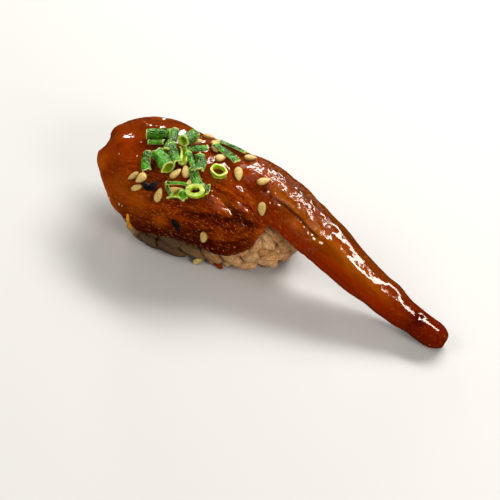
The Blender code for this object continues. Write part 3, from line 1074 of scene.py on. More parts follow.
def packed_axes(count, sink, seed, fixed=()):
    """The two ends of each grain's axis, after the grains have made room for each other."""
    random = np.random.default_rng(seed)
    ways = random.normal(size=(count, 3)) * (LOAF_LENGTH, LOAF_WIDTH, LOAF_HEIGHT)
    places = np.array([loaf_point(Vector(way).normalized(), sink)[:] for way in ways])
    leaning = random.normal(size=(count, 3)) * (1.5, 1.0, 0.8)
    ends = with_length(np.stack([places - leaning, places + leaning], axis=1))
    sinks = sink + random.uniform(-0.25, 0.45, count)
    still = len(fixed)
    if still:
        ends = np.concatenate([fixed, ends])
    owner = np.repeat(np.arange(len(ends)), len(CHECKED_AT))
    share = (CHECKED_AT[None, :, None] + 1) / 2
    for _ in range(PACKING_STEPS):
        checked = ends[:, :1] * (1 - share) + ends[:, 1:] * share
        flat = checked.reshape(-1, 3)
        between = flat[:, None] - flat[None]
        distance = np.sqrt((between ** 2).sum(axis=2)) + 1e-6
        overlap = np.where(owner[:, None] != owner, np.clip(CLOSEST - distance, 0, None), 0)
        push = (between * (overlap / distance)[:, :, None]).sum(axis=1).reshape(checked.shape)
        ends[:, 0] += PUSH_SHARE * (push * (1 - share)).sum(axis=1)
        ends[:, 1] += PUSH_SHARE * (push * share).sum(axis=1)
        ends = with_length(ends)
        for i in range(count):
            for end in (0, 1):
                way = Vector(ends[still + i, end]) - loaf_middle
                ends[still + i, end] = loaf_point(way.normalized(), float(sinks[i]))
        if still:
            ends[:still] = fixed
    return ends


OUTER_GRAINS = 118
INNER_GRAINS = 90
outer_axes = packed_axes(OUTER_GRAINS, OUTER_SINK, 5, shown)
inner_axes = packed_axes(INNER_GRAINS, INNER_SINK, 8)
print("grains in the outer and the inner layer:", len(outer_axes), len(inner_axes))

# %% [markdown]
# ## The tree that sets things on points
#
# One Geometry Nodes tree lays the grains, the seeds and the drops of glaze. It reads a mesh of
# places whose points carry a turn and a size, sets one of a collection's things on each, makes
# them real, and presses flat what would go through the floor.


# %% Helpers for Geometry Nodes
def new_geometry_tree(name, inputs):
    """A Geometry Nodes tree with named inputs: (label, kind, value)."""
    tree = bpy.data.node_groups.new(name, "GeometryNodeTree")
    tree.interface.new_socket("Geometry", in_out="INPUT", socket_type="NodeSocketGeometry")
    tree.interface.new_socket("Geometry", in_out="OUTPUT", socket_type="NodeSocketGeometry")
    for label, kind, value in inputs:
        socket = tree.interface.new_socket(label, in_out="INPUT", socket_type="NodeSocket" + kind)
        if value is not None:
            socket.default_value = value
    return tree, tree.nodes.new("NodeGroupInput"), tree.nodes.new("NodeGroupOutput")


def add_node(tree, kind, settings=None, **links):
    """Adds a node. Links name its inputs (an underscore is a space) and give sockets or values."""
    node = tree.nodes.new(kind)
    for label, value in (settings or {}).items():
        setattr(node, label, value)
    for label, value in links.items():
        wanted = label.replace("_", " ")
        socket = next(s for s in node.inputs if s.name == wanted and s.enabled)
        if isinstance(value, bpy.types.NodeSocket):
            tree.links.new(value, socket)
        else:
            socket.default_value = value
    return node


def set_input(modifier, label, value):
    """Sets a modifier's input by the identifier of the socket that has this label."""
    items = modifier.node_group.interface.items_tree
    socket = next(item for item in items if item.name == label and item.in_out == "INPUT")
    modifier[socket.identifier] = value


print("geometry helpers ready")

# %% The tree
set_tree, given, result = new_geometry_tree("set_on_points", [
    ("Kinds", "Collection", None), ("Scale", "Float", 1.0), ("Floor", "Float", 0.0),
    ("Finish", "Material", None),
])
given = given.outputs
turn_value, size_value = (
    add_node(set_tree, "GeometryNodeInputNamedAttribute", {"data_type": "FLOAT_VECTOR"}, Name=name)
    for name in ("turn", "size"))
scaled = add_node(set_tree, "ShaderNodeVectorMath", {"operation": "SCALE"},
                  Vector=size_value.outputs[0], Scale=given["Scale"])
as_rotation = add_node(set_tree, "FunctionNodeEulerToRotation", Euler=turn_value.outputs[0])
kinds = add_node(set_tree, "GeometryNodeCollectionInfo", Collection=given["Kinds"],
                 Separate_Children=True, Reset_Children=True)
placed = add_node(set_tree, "GeometryNodeInstanceOnPoints", Points=given["Geometry"],
                  Instance=kinds.outputs[0], Pick_Instance=True, Rotation=as_rotation.outputs[0],
                  Scale=scaled.outputs[0])
real = add_node(set_tree, "GeometryNodeRealizeInstances", Geometry=placed.outputs[0])
position = add_node(set_tree, "GeometryNodeInputPosition")
parts = add_node(set_tree, "ShaderNodeSeparateXYZ", Vector=position.outputs[0])
held_up = add_node(set_tree, "ShaderNodeMath", {"operation": "MAXIMUM"})
set_tree.links.new(parts.outputs["Z"], held_up.inputs[0])
set_tree.links.new(given["Floor"], held_up.inputs[1])
on_floor = add_node(set_tree, "ShaderNodeCombineXYZ", X=parts.outputs["X"],
                    Y=parts.outputs["Y"], Z=held_up.outputs[0])
flattened = add_node(set_tree, "GeometryNodeSetPosition", Geometry=real.outputs[0],
                     Position=on_floor.outputs[0])
finished = add_node(set_tree, "GeometryNodeSetMaterial", Geometry=flattened.outputs[0],
                    Material=given["Finish"])
set_tree.links.new(finished.outputs[0], result.inputs[0])
print("the tree has", len(set_tree.nodes), "nodes")


# %% Set things on places
def square_to(axis, upwards):
    """The upward direction, leaned until it is square to the axis."""
    return (upwards - axis * upwards.dot(axis)).normalized()


def turn_of(axis, upwards):
    """The Euler turn that takes X to the axis and Z to the upward direction."""
    side = upwards.cross(axis)
    return Matrix((axis, side, upwards)).transposed().to_euler()


def set_things(name, kinds_of_thing, places, turns, sizes, finish):
    """One mesh of things set on places in metres, each with its turn and its size."""
    carrier_mesh = bpy.data.meshes.new(name + "_places")
    carrier_mesh.from_pydata(places, [], [])
    keep_vector(carrier_mesh, "turn", turns)
    keep_vector(carrier_mesh, "size", sizes)
    carrier = add_object(name + "_places", carrier_mesh)
    collection = bpy.data.collections.new(name + "_kinds")
    for number, kind_mesh in enumerate(kinds_of_thing):
        collection.objects.link(bpy.data.objects.new(f"{name}_kind_{number}", kind_mesh))
    setter = carrier.modifiers.new("set", "NODES")
    setter.node_group = set_tree
    for label, value in (("Kinds", collection), ("Scale", 1.0), ("Floor", 0.0),
                         ("Finish", finish)):
        set_input(setter, label, value)
    mesh = evaluated_mesh(carrier, name)
    for thing in [carrier, *collection.objects]:
        bpy.data.objects.remove(thing)
    bpy.data.collections.remove(collection)
    mesh.shade_smooth()
    return add_object(name, mesh)


print("placing helpers ready")

# %% [markdown]
# ## Material: boiled rice
#
# Rice is off-white and lets light in. Soy has run down and stained it a warm tan. Painted shade
# darkens the gaps between the grains and the loaf's left half, but for its very end. Each point of a
# grain keeps how deep it lies under the loaf's outline, how near it comes to a neighbour and how much
# painted shade the left half gives it, and the material darkens it by these.
# Each grain also has a tint of its own, and its skin is finely wrinkled along the grain.

# %% The rice's finish
RICE_CREAM = (0.82, 0.37, 0.118)
RICE_TAN = (0.66, 0.27, 0.075)
RICE_PALE = (0.88, 0.58, 0.28)
RICE_CLOUD = (0.42, 0.19, 0.06)
RICE_WRINKLE = (0.38, 0.16, 0.055)
RICE_SPECK = (0.92, 0.72, 0.50)
LEFT_SHADE_BROWN = (0.044, 0.027, 0.013)
DEPTH_SHADE_BROWN = (0.27, 0.125, 0.045)
GAP_SHADE_BROWN = (0.050, 0.014, 0.004)

rice_finish, tree, shader, place = new_material("boiled_rice")
grain_place = read_place(tree, "grain_place")
stain = use_group(tree, mottling, place, Size=7.0, Low=0.38, High=0.62)
wrinkles = noise_node(tree, grain_place, 2.4, 3.0, 0.65, 0.8)
mottle = use_group(tree, mottling, grain_place, Size=450.0, Low=0.42, High=0.58)
specks = use_group(tree, mottling, place, Size=0.40, Low=0.54, High=0.62)
layered(tree, shader, RICE_CREAM, [
    (stain, 0.6, RICE_TAN),
    ("own_tint", 1.0, RICE_PALE),
    (mottle, 0.50, RICE_CLOUD),
    (spread(tree, wrinkles, 0.50, 0.62), 0.40, RICE_WRINKLE),
    (specks, 0.6, RICE_SPECK),
    # painted shade over the loaf's left half
    ("left_shade", 1.0, LEFT_SHADE_BROWN),
    # painted shade that deepens with depth under the loaf's outline
    ("depth_shade", 0.8, DEPTH_SHADE_BROWN),
    # painted shade in the gaps where grains touch
    ("contact_shade", 0.65, GAP_SHADE_BROWN),
])
bump(tree, shader, wrinkles, 0.55)
set_plain(shader, Roughness=0.34, IOR=1.38, Subsurface_Weight=0.15,
          Subsurface_Radius=(1.0, 0.55, 0.30), Subsurface_Scale=0.8 * MM)
print("rice finish ready")

# %% What each point of the rice keeps
# painted shade over the loaf's left half
DARKEST_LEFT_SHADE = 0.90
LIGHTER_LEFT_TIP = 0.70  # how much less painted shade the loaf's left tip has


def keep_left_shade(mesh):
    """Painted shade over the loaf's left half, lighter at its very end."""
    x = points_of(mesh)[:, 0]
    most = DARKEST_LEFT_SHADE - LIGHTER_LEFT_TIP * smooth_step(-15, -18, x)
    keep_value(mesh, "left_shade", smooth_step(14, -6, x) * most)


def keep_depth_shade(mesh):
    """Painted shade that grows with how deep each point lies under the loaf's outline."""
    depths = []
    for point in points_of(mesh):
        way = Vector(point) - loaf_middle
        depths.append((loaf_point(way.normalized(), 0) - loaf_middle).length - way.length)
    keep_value(mesh, "depth_shade", smooth_step(0.15, 1.4, depths))


def keep_contact_shade(mesh, axes):
    """Painted shade where a point of a grain comes near another grain's skin, in the gap between them.
    """
    points = points_of(mesh)
    owner = np.repeat(np.arange(len(axes)), len(points) // len(axes))
    nearest = np.full(len(points), np.inf)
    for number, (first, second) in enumerate(axes):
        along = second - first
        share = np.clip((points - first) @ along / (along @ along), 0, 1)
        distance = np.linalg.norm(points - first - share[:, None] * along, axis=1)
        nearest = np.where(owner == number, nearest, np.minimum(nearest, distance))
    reach = GRAIN_SIZE[1] / 2
    keep_value(mesh, "contact_shade", smooth_step(reach + 0.10, reach - 0.35, nearest))


keep_left_shade(core_mesh)
# the core lies deep, so it is in full painted shade
keep_value(core_mesh, "depth_shade", np.ones(len(core_mesh.vertices)))
keep_value(core_mesh, "contact_shade", np.zeros(len(core_mesh.vertices)))
core_mesh.materials.append(rice_finish)
print("the core is finished")

# %% Lay the grains
GRAIN_GROWTH = (0.98, 1.14)  # how small or large a grain may be, beside its kind
LENGTH_SHARE = 0.94  # boiled grains are a little shorter for their girth
LENGTH_RANGE = (0.5, 1.15)  # a listed grain may be foreshortened or long
STRONGEST_TINT = 0.6
core_tree = tree_of(core_mesh)
grain_random = np.random.default_rng(12)


def lay_grains(name, kinds_of_grain, axes):
    """A mesh of grains on these axes, which keeps what the rice's finish reads."""
    places, turns, sizes = [], [], []
    for first, second in axes:
        middle = Vector((first + second) / 2) * MM
        axis = Vector(second - first).normalized()
        _, upwards, _, _ = core_tree.find_nearest(middle)
        places.append(middle)
        turns.append(turn_of(axis, square_to(axis, upwards)))
        length = np.linalg.norm(second - first) + GRAIN_SIZE[1]
        size = grain_random.uniform(*GRAIN_GROWTH, 3)
        size[0] *= LENGTH_SHARE * np.clip(length / GRAIN_SIZE[0], *LENGTH_RANGE)
        sizes.append(size)
    grains = set_things(name, kinds_of_grain, places, turns, sizes, rice_finish)
    own_tint = grain_random.uniform(0, STRONGEST_TINT, len(axes))
    keep_value(grains.data, "own_tint", np.repeat(own_tint, len(kinds_of_grain[0].vertices)))
    keep_depth_shade(grains.data)
    keep_left_shade(grains.data)
    keep_contact_shade(grains.data, axes)
    return grains


rice_grains = lay_grains("rice_grains", outer_kinds, outer_axes)
deep_grains = lay_grains("rice_grains_below", inner_kinds, inner_axes)
print("the grains have", len(rice_grains.data.polygons), "and", len(deep_grains.data.polygons),
      "faces")

# %% [markdown]
# ## Where the small toppings lie
#
# Each seed and each chive lies where the picture shows it. The pixels of its two ends give two
# sights, and each is followed to the glaze and back up by the height of the thing, so that it
# rests on the slice from any side.


# %% From pixels to a place, a turn and an upward direction
def raised(pixel, lift):
    """The point behind a pixel that stands a number of millimetres off the skin."""
    point, facing = seen_on_slice(pixel, slice_tree)
    to_camera = (camera.location - point).normalized()
    slant = max(0.35, facing.dot(to_camera))
    return point + to_camera * (lift * MM / slant), facing


def lying(first, second, lift):
    """A place, an axis and an upward direction, from the pixels of a thing's two ends."""
    a, facing_a = raised(first, lift)
    b, facing_b = raised(second, lift)
    axis = (b - a).normalized()
    upwards = square_to(axis, (facing_a + facing_b).normalized())
    return (a + b) / 2, axis, upwards, (b - a).length


print("a seed at (262, 209) would lie at",
      [round(c / MM, 1) for c in lying((262, 202), (262, 216), 0.4)[0]], "mm")

# %% [markdown]
# ## Sesame seeds
#
# A seed is a flat drop: blunt, a little narrower at one end, domed above and below, with fine
# lengthwise lines.


# %% One seed
WHITE_SIZE = (3.5, 1.95, 1.15)
BLACK_SIZE = (3.3, 1.6, 1.10)


def seed_mesh(name, size, seed):
    """A flat drop lying along X, narrower at +X."""
    random = np.random.default_rng(seed)
    narrow = random.uniform(0.20, 0.32)
    bend = random.uniform(-0.06, 0.06)
    drop = ball(16, 12, 1)
    seam = []
    for vertex in drop.verts:
        long, wide, deep = vertex.co.z, vertex.co.x, vertex.co.y
        seam.append(smooth_step(0.50, 0.15, abs(deep)))
        taper = 1 - narrow * long - 0.10 * max(long, 0) ** 3
        dent = 1 - 0.10 * math.exp(-((wide / 0.3) ** 2)) * (1 - long * long)
        vertex.co = Vector((
            size[0] / 2 * long,
            size[1] / 2 * (wide * taper + bend * (1 - 2 * long * long)),
            size[2] / 2 * deep * taper * dent,
        )) * MM
    mesh = mesh_of(drop, name)
    keep_value(mesh, "seam", seam)
    return mesh


white_kinds = [seed_mesh(f"white_seed_{i}", WHITE_SIZE, 20 + i) for i in range(4)]
black_kinds = [seed_mesh(f"black_seed_{i}", BLACK_SIZE, 30 + i) for i in range(2)]
print("a seed has", len(white_kinds[0].polygons), "faces")

# %% [markdown]
# ## Material: sesame
#
# White seeds are cream with a golden shade in the dents, and a little shiny from the glaze.
# Black seeds are near black, wrinkled, with a soft shine.

# %% The seeds' finishes
SEED_CREAM = (0.62, 0.45, 0.135)
SEED_GOLD = (0.52, 0.32, 0.075)
SEED_PALE = (0.84, 0.68, 0.35)
SEAM_BROWN = (0.36, 0.15, 0.020)
SEED_BLACK = (0.004, 0.003, 0.004)
SEED_DARK_GREY = (0.016, 0.012, 0.011)

white_sesame, tree, shader, place = new_material("white_sesame")
layered(tree, shader, SEED_CREAM, [
    (use_group(tree, mottling, place, Size=1.3, Low=0.4, High=0.65), 1.0, SEED_GOLD),
    (use_group(tree, mottling, place, Size=0.4, Low=0.45, High=0.7), 0.6, SEED_PALE),
    ("seam", 0.75, SEAM_BROWN),
])
bump(tree, shader, use_group(tree, wet_bumps, place, Size=0.45, Fine=0.5), 0.12)
set_plain(shader, Roughness=0.26, Specular_IOR_Level=0.5, Subsurface_Weight=0.25,
          Subsurface_Scale=0.8 * MM, Subsurface_Radius=(1.0, 0.6, 0.3))

black_sesame, tree, shader, place = new_material("black_sesame")
layered(tree, shader, SEED_BLACK, [
    (use_group(tree, mottling, place, Size=0.7, Low=0.4, High=0.7), 1.0, SEED_DARK_GREY),
])
bump(tree, shader, use_group(tree, wet_bumps, place, Size=0.5, Fine=0.6), 0.20)
set_plain(shader, Roughness=0.30, Specular_IOR_Level=0.3)
print("seed finishes ready")

# %% Lay the seeds
WHITE_SEEDS = [
    # round end, narrow end, width factor, lift
    ((139, 173), (128, 179), 0.80, 0.4),
    ((146, 174), (136, 182), 1.10, 1.2),
    ((132, 189), (142, 186), 0.75, 0.3),
    ((156, 202), (161, 188), 0.95, 0.5),
    ((170, 178), (181, 169), 1.00, 0.5),
    ((187, 178), (185, 165), 1.05, 0.6),
    ((194, 137), (198, 131), 1.00, 0.9),
    ((193, 142), (201, 141), 1.00, 0.7),
    ((206, 131), (216, 130), 1.00, 0.5),
    ((213, 145), (219, 140), 1.05, 0.9),
    ((218, 151), (213, 146), 1.00, 0.4),
    ((217, 159), (225, 156), 1.10, 0.5),
    ((244, 157), (257, 158), 0.95, 0.5),
    ((238, 167), (239, 181), 1.02, 0.5),
    ((262, 202), (262, 216), 0.97, 0.5),
    ((257, 183), (271, 179), 0.92, 0.5),
    ((205, 233), (202, 242), 1.15, 0.5),
    ((188, 187), (191, 180), 0.80, 0.7),
    ((169, 191), (178, 189), 0.75, 0.4),
]
BLACK_SEEDS = [
    ((151, 190), (142, 182), 1.05, 0.6),
    ((149, 190), (158, 181), 1.05, 0.9),
    ((172, 219), (180, 232), 1.00, 0.6),
]


LENGTH_STRETCH = (0.85, 1.08)  # how far a seed's length may be off the usual one


def lay_seeds(name, kinds_of_seed, rows, length, finish):
    """Seeds on the slice, each stretched a little to the length that the picture shows."""
    places, turns, sizes = [], [], []
    for first, second, width, lift in rows:
        middle, axis, upwards, seen_length = lying(first, second, lift)
        places.append(middle)
        turns.append(turn_of(axis, upwards))
        sizes.append((np.clip(seen_length / MM / length, *LENGTH_STRETCH), width, 1.0))
    return set_things(name, kinds_of_seed, places, turns, sizes, finish)


white_seeds = lay_seeds("sesame_white", white_kinds, WHITE_SEEDS, WHITE_SIZE[0], white_sesame)
black_seeds = lay_seeds("sesame_black", black_kinds, BLACK_SEEDS, BLACK_SIZE[0], black_sesame)
print(len(WHITE_SEEDS), "white seeds and", len(BLACK_SEEDS), "black seeds")

# %% [markdown]
# ## Drops of glaze
#
# Tiny beads stand all over the glaze and catch the light, most of all between the fibres and at the
# tail's root. Some larger drops line the vein and lie here and there on the slice; they are painted
# almost white, as painted highlights. One thick drip has run over the slice's lower left corner. A
# bead is a dome of a few dozen faces. The three kinds of glaze are made alike: two tones in soft
# clouds, and a wet shine.


# %% One bead
def bead_mesh(name, stretch):
    """A dome with a radius of one millimetre, made longer along X."""
    dome = ball(8, 6, MM)
    for vertex in dome.verts:
        vertex.co.x *= stretch
    return mesh_of(dome, name)


bead_kinds = [bead_mesh(f"bead_kind_{i}", 1 + 0.5 * i) for i in range(3)]
print("a bead has", len(bead_kinds[0].polygons), "faces")


# %% The finishes of drops
def drop_finish(name, cloud_size, first, second, **plain):
    """A wet material in two tones, in soft clouds of a size in millimetres."""
    material, tree, shader, place = new_material(name)
    clouds = use_group(tree, mottling, place, Size=cloud_size)
    layered(tree, shader, first, [(clouds, 1.0, second)])
    set_plain(shader, **plain)
    return material


glaze_bead = drop_finish(
    "glaze_bead", 0.8, (0.34, 0.065, 0.004), (0.66, 0.24, 0.05),
    Roughness=0.06, Specular_IOR_Level=0.6, Subsurface_Weight=0.4,
    Subsurface_Radius=(1.0, 0.3, 0.05), Subsurface_Scale=0.5 * MM)
# painted highlight: pale drops that stand for small white highlights
painted_highlight_finish = drop_finish(
    "glaze_painted_highlight", 0.4, (0.90, 0.80, 0.66), (0.72, 0.40, 0.18),
    Roughness=0.06, Specular_IOR_Level=0.6)
clear_glaze = drop_finish(
    "clear_glaze", 1.5, (0.95, 0.42, 0.02), (0.80, 0.27, 0.006),
    Roughness=0.08, Subsurface_Weight=0.5,
    Subsurface_Radius=(1.0, 0.4, 0.05), Subsurface_Scale=1.0 * MM)
print("finishes of drops:", [material.name for material in (glaze_bead, painted_highlight_finish, clear_glaze)])

# %% Set the beads
BEADS_IN_ALL = 480
VEIN_DROPS = [
    # pixel, radius in millimetres
    ((301, 222), 0.18), ((304, 227), 0.20), ((308, 233), 0.20), ((312, 235), 0.30),
    ((314, 239), 0.32), ((321, 243), 0.30), ((268, 192), 0.34), ((270, 203), 0.16),
    ((279, 205), 0.20), ((119, 154), 0.18), ((109, 198), 0.22), ((119, 204), 0.20),
    ((122, 206), 0.22), ((141, 142), 0.22), ((137, 156), 0.18), ((212, 191), 0.16),
]
BEAD_RADII = (0.06, 0.14)
BEAD_SUNK = 0.35  # the share of a bead's radius that its middle lies under the skin
BEAD_FLATNESS = 0.8
bead_random = np.random.default_rng(31)
root_share = np.exp(-(((points - np.array([12, 0, 17])) / (8, 7, 8)) ** 2).sum(axis=1))
bead_share = 0.10 + 1.3 * on_flap + 1.5 * root_share
bead_share *= smooth_step(1.0, 3.0, points[:, 2])  # none next to the floor
chosen = bead_random.choice(len(points), BEADS_IN_ALL, replace=False,
                            p=bead_share / bead_share.sum())


def set_beads(name, rows, finish):
    """Beads sunk a little into the glaze. A row is a place, an upward direction and a radius."""
    places, turns, sizes = [], [], []
    for spot, upwards, radius in rows:
        axis = upwards.orthogonal().normalized()
        axis.rotate(Matrix.Rotation(bead_random.uniform(0, math.pi), 3, upwards))
        places.append(spot - upwards * radius * BEAD_SUNK * MM)
        turns.append(turn_of(axis, upwards))
        sizes.append((radius, radius, radius * BEAD_FLATNESS))
    return set_things(name, bead_kinds, places, turns, sizes, finish)


beads = set_beads("glaze_beads", (
    (Vector(points[i]) * MM, Vector(facing[i]), bead_random.uniform(*BEAD_RADII)) for i in chosen
), glaze_bead)
# drops painted pale, as painted highlights
bright_drops = set_beads("glaze_bubbles", (
    (*seen_on_slice(pixel, slice_tree), radius) for pixel, radius in VEIN_DROPS
), painted_highlight_finish)
print("beads:", BEADS_IN_ALL, "and", len(VEIN_DROPS), "bubbles, with",
      len(beads.data.polygons) + len(bright_drops.data.polygons), "faces")

# %% A drip over the corner and what sticks to the foot
DROP_LENGTH = 3.5  # how long these kinds are made, before they are stretched between their ends


def set_between(name, kind, first, second, width, finish):
    """One drop-shaped thing between two points in metres."""
    axis = (second - first).normalized()
    upwards = square_to(axis, (camera.location - first).normalized())
    size = ((second - first).length / MM / DROP_LENGTH, width, 1.0)
    return set_things(name, [kind], [(first + second) / 2], [turn_of(axis, upwards)], [size],
                      finish)


def over_floor(pixel, height):
    """The point behind a pixel at a height in millimetres over the floor."""
    down = sight(pixel)
    return camera.location + down * ((height * MM - camera.location.z) / down.z)


drip = set_between("glaze_drip", seed_mesh("drip_kind", (DROP_LENGTH, 1.9, 1.6), 41),
                   Vector(seen_on_loaf((129, 233))) * MM, raised((127, 214), 0.6)[0],
                   1.0, clear_glaze)
low_seed = set_between("sesame_at_foot", white_kinds[1],
                       over_floor((193, 263), 0.6), over_floor((203, 258), 1.4), 0.72, white_sesame)
shred = set_between("slice_shred", seed_mesh("shred_kind", (DROP_LENGTH, 1.3, 1.0), 43),
                    over_floor((222, 269), 0.6), over_floor((212, 258), 2.2), 1.0, glaze)
print("drip and what sticks to the foot:", len(drip.data.polygons) + len(low_seed.data.polygons)
      + len(shred.data.polygons), "faces")

# %% [markdown]
# ## Chives
#
# A chive is a thin-walled green tube. Cut short it is a ring, cut long it is a little pipe,
# and many pieces have split, so they lie as curled strips. One function makes all of them: a
# wall that runs some part of the way round a bent axis, crumpled by noise, with ragged cuts.
# Each point keeps whether it is inside, how near a cut it is, and where it lies on the leaf,
# so that the material can draw pale rims and lengthwise lines.

# %% One piece of chive
CHIVE_SIDES = 24
CHIVE_STEPS = 14
RIM = 0.28  # how far a cut's pale rim reaches, in millimetres
CRUMPLE = 0.16
CRUMPLE_SEED = 5
RAGGED = 0.22
UNEVEN = 0.10  # how much a tube's width varies
STANDING_LEAN = 0.15  # how far a standing ring leans
Chive = namedtuple("Chive", "first second width flatness arc wall lift roll stand bend")
noise.seed_set(CRUMPLE_SEED)  # without it, the crumpling would be another one in each run


def chive_wall(piece, number):
    """A piece's places in metres, and for each: inside or not, rim share and leaf place."""
    _, _, width, flatness, arc, wall, lift, roll, stand, bend = piece
    middle, axis, upwards, length = lying(piece.first, piece.second, lift)
    length /= MM
    if stand:
        length = stand
        axis, upwards = (upwards + axis * STANDING_LEAN).normalized(), axis
        upwards = square_to(axis, upwards)
    side = upwards.cross(axis)
    radius = width / 2
    shift = Vector((number * 7.7, 3.1, -2.4))
    places, inside, rims, leaf = [], [], [], []
    turns = CHIVE_SIDES if arc >= 360 else CHIVE_SIDES - 1
    for depth in (0.0, 1.0):
        for step in range(CHIVE_STEPS):
            share = (1 - math.cos(math.pi * step / (CHIVE_STEPS - 1))) / 2
            for i in range(CHIVE_SIDES):
                turn = math.radians(roll + arc * (i / turns - 0.5) + 90)
                x, y = math.cos(turn), math.sin(turn)
                swell = 1 + UNEVEN * noise.noise(Vector((2 * x, 2 * y, share * 2)) + shift)
                r = radius * swell - depth * wall
                at_cut = Vector((1.6 * x, 1.6 * y, 9 * round(share)))
                ragged = RAGGED * noise.noise(at_cut + shift)
                out = (share - 0.5) * length + ragged * (2 * share - 1) * 2
                drop = bend * (1 - (2 * share - 1) ** 2)
                spot = axis * out + side * (r * x + drop) + upwards * r * y * flatness
                spot += CRUMPLE * noise.noise_vector(spot * 0.8 + shift)
                places.append(middle + spot * MM)
                inside.append(depth)
                to_cut = min(share, 1 - share) * length
                if arc < 360:
                    to_cut = min(to_cut, min(i, turns - i) / turns * math.radians(arc) * radius)
                rims.append(max(0.0, 1 - to_cut / RIM) * (1 - 0.75 * depth))
                leaf.append((turn * radius, out, number * 5.0))
    return places, inside, rims, leaf


def chive_faces(arc, offset):
    """The faces of a wall: outside, inside and the cut edges."""
    closed = arc >= 360
    layer_size = CHIVE_SIDES * CHIVE_STEPS
    faces = []
    rounds = range(CHIVE_SIDES if closed else CHIVE_SIDES - 1)

    def at(layer_depth, step, i):
        return offset + layer_depth * layer_size + step * CHIVE_SIDES + i % CHIVE_SIDES

    for step in range(CHIVE_STEPS - 1):
        for i in rounds:
            outside = (at(0, step, i), at(0, step, i + 1), at(0, step + 1, i + 1),
                       at(0, step + 1, i))
            faces.append(outside)
            faces.append(tuple(v + layer_size for v in reversed(outside)))
    for step in (0, CHIVE_STEPS - 1):
        for i in rounds:
            edge = (at(0, step, i), at(0, step, i + 1), at(1, step, i + 1), at(1, step, i))
            faces.append(edge if step else tuple(reversed(edge)))
    if not closed:
        for i in (0, CHIVE_SIDES - 1):
            for step in range(CHIVE_STEPS - 1):
                edge = (at(0, step, i), at(0, step + 1, i), at(1, step + 1, i), at(1, step, i))
                faces.append(edge if i else tuple(reversed(edge)))
    return faces


print("a closed piece has", len(chive_faces(360, 0)), "faces")

# %% Lay the chives
CHIVES = [
    # one end, other end, width, flatness, degrees round, wall, lift, roll, height if it stands,
    # sideways bend; sizes in millimetres
    ((147, 134), (171, 134), 2.6, 0.95, 360, 0.45, 1.6, 0, 0, 0.1),
    ((149, 142), (164, 142), 1.7, 0.7, 200, 0.40, 0.9, 0, 0, -0.1),
    ((175, 131), (166, 151), 2.1, 0.8, 230, 0.42, 2.0, 15, 0, 0.3),
    ((172, 144), (178, 163), 2.3, 0.7, 210, 0.42, 1.7, -15, 0, -0.3),
    ((194, 123), (183, 141), 3.1, 0.9, 360, 0.45, 2.0, 0, 0, 0.3),
    ((148, 152), (147, 171), 2.3, 0.6, 190, 0.42, 1.0, 10, 0, -0.4),
    ((157, 153), (168, 168), 3.4, 0.8, 360, 0.42, 1.6, 0, 0, 0.2),
    ((183, 146), (183, 163), 2.0, 0.8, 260, 0.50, 1.2, 180, 0, 0.4),
    ((188, 149), (208, 148), 1.9, 0.5, 190, 0.42, 1.4, 0, 0, -0.1),
    ((188, 153), (194, 170), 1.5, 0.5, 170, 0.38, 1.5, 0, 0, 0.2),
    ((193, 168), (200, 187), 2.2, 0.5, 190, 0.38, 1.1, 10, 0, -0.3),
    ((200, 156), (199, 171), 2.4, 0.8, 240, 0.45, 1.5, 15, 0, 0.3),
    ((166, 183), (188, 184), 0.9, 0.6, 170, 0.35, 1.5, 0, 0, 0.1),
    ((166, 183), (172, 195), 0.9, 0.6, 170, 0.35, 1.2, 0, 0, -0.2),
    ((169, 194), (184, 196), 2.5, 0.6, 200, 0.40, 0.8, 160, 0, 0.5),
    ((180, 191), (185, 199), 1.4, 0.6, 200, 0.40, 1.2, 20, 0, 0.2),
    ((186, 191), (205, 191), 3.0, 1.45, 360, 0.72, 1.2, 0, 1.6, 0.2),
    ((215, 144), (238, 162), 1.9, 0.35, 180, 0.42, 1.1, 0, 0, 0.2),
    ((219, 141), (246, 153), 1.6, 0.5, 190, 0.42, 0.8, 0, 0, 0.2),
    ((210, 169), (227, 174), 3.0, 1.30, 360, 0.38, 0.9, 0, 1.4, 0.0),
    ((203, 184), (209, 192), 0.8, 0.5, 170, 0.35, 0.8, 0, 0, 0.1),
    ((209, 184), (207, 194), 0.8, 0.5, 170, 0.35, 1.0, 0, 0, 0.1),
]
SHARP_ANGLE = 50  # degrees, past which an edge stays sharp

places, faces, inside, rims, leaf = [], [], [], [], []
young = []  # a ring cut from the pale foot of the stem
for number, row in enumerate(CHIVES):
    piece = Chive(*row)
    faces += chive_faces(piece.arc, len(places))
    wall = chive_wall(piece, number)
    for kept, more in zip((places, inside, rims, leaf), wall):
        kept.extend(more)
    young += [float(piece.stand > 0)] * len(wall[0])
chive_mesh = bpy.data.meshes.new("chives")
chive_mesh.from_pydata(places, [], faces)
for name, values in (("inside", inside), ("rim", rims), ("young", young)):
    keep_value(chive_mesh, name, values)
keep_vector(chive_mesh, "leaf", leaf)
shape = bmesh.new()
shape.from_mesh(chive_mesh)
bmesh.ops.recalc_face_normals(shape, faces=shape.faces)
shape.to_mesh(chive_mesh)
shape.free()
chive_mesh.shade_smooth()
chive_mesh.set_sharp_from_angle(angle=math.radians(SHARP_ANGLE))
chives = add_object("chives", chive_mesh)
print(len(CHIVES), "pieces of chive,", len(chive_mesh.polygons), "faces")

# %% [markdown]
# ## Material: chive
#
# The outside is a dark, saturated green with paler lengthwise lines, the inside is lime and the cut
# rim is almost white. Dark patches on the outside are partly the leaf's own deeper green and partly
# painted shade, and pale flecks are painted glints. Noise read on the leaf's own places, squeezed
# crosswise, draws the lines along each leaf, however it is turned.

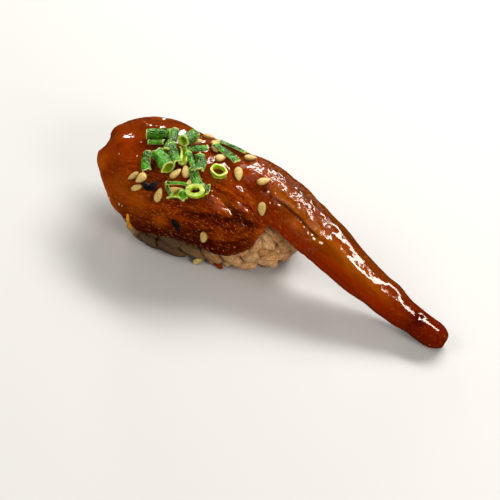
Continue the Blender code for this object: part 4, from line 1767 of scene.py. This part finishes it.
# %% The chive's finish
LEAF_DARK = (0.002, 0.016, 0.001)
LEAF_GREEN = (0.055, 0.290, 0.004)
LEAF_LINE = (0.18, 0.58, 0.012)
LEAF_GLINT = (0.50, 0.78, 0.26)
YOUNG_LEAF = (0.42, 0.58, 0.004)
INSIDE_LIME = (0.58, 0.70, 0.006)
INSIDE_GREEN = (0.36, 0.58, 0.006)
RIM_PALE = (0.70, 0.84, 0.22)

chive_green, tree, shader, place = new_material("chive_green")
on_leaf = read_place(tree, "leaf", (1.0, 0.22, 1.0))
leaf_lines = spread(tree, noise_node(tree, on_leaf, 3.4, 3.0, 0.6), 0.42, 0.62)
patches = use_group(tree, mottling, place, Size=2.0, Low=0.45, High=0.60)
flecks = use_group(tree, mottling, place, Size=0.38, Low=0.54, High=0.64)
inside_green = mixed(tree, patches, INSIDE_LIME, INSIDE_GREEN)
layered(tree, shader, LEAF_DARK, [
    # dark patches, partly the leaf's own deeper green and partly painted shade
    (patches, 1.0, LEAF_GREEN),
    (leaf_lines, 0.36, LEAF_LINE),
    # painted glints: pale flecks that stand for small highlights
    (flecks, 0.42, LEAF_GLINT),
    ("young", 0.9, YOUNG_LEAF),
    ("inside", 1.0, inside_green),
    ("rim", 1.0, RIM_PALE),
])
line_height = math_node(tree, "MULTIPLY", leaf_lines, 0.5)
skin = use_group(tree, wet_bumps, place, Size=0.45, Fine=0.5)
bump(tree, shader, math_node(tree, "ADD", skin, line_height), 0.14)
set_plain(shader, Roughness=0.18, Specular_IOR_Level=0.55, Subsurface_Weight=0.2,
          Subsurface_Scale=0.7 * MM, Subsurface_Radius=(0.5, 1.0, 0.2))
chive_mesh.materials.append(chive_green)
print("chive finish ready")

# %% [markdown]
# ## Every piece rides on the body
#
# The model has one body, `root`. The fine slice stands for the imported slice, and the core with
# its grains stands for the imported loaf.

# %% Tie the pieces to the model
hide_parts("topping")
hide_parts("rice")
for thing in (glazed_slice, rice_core, rice_grains, deep_grains, white_seeds, black_seeds,
              beads, bright_drops, drip, low_seed, shred, chives):
    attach(thing, "root")
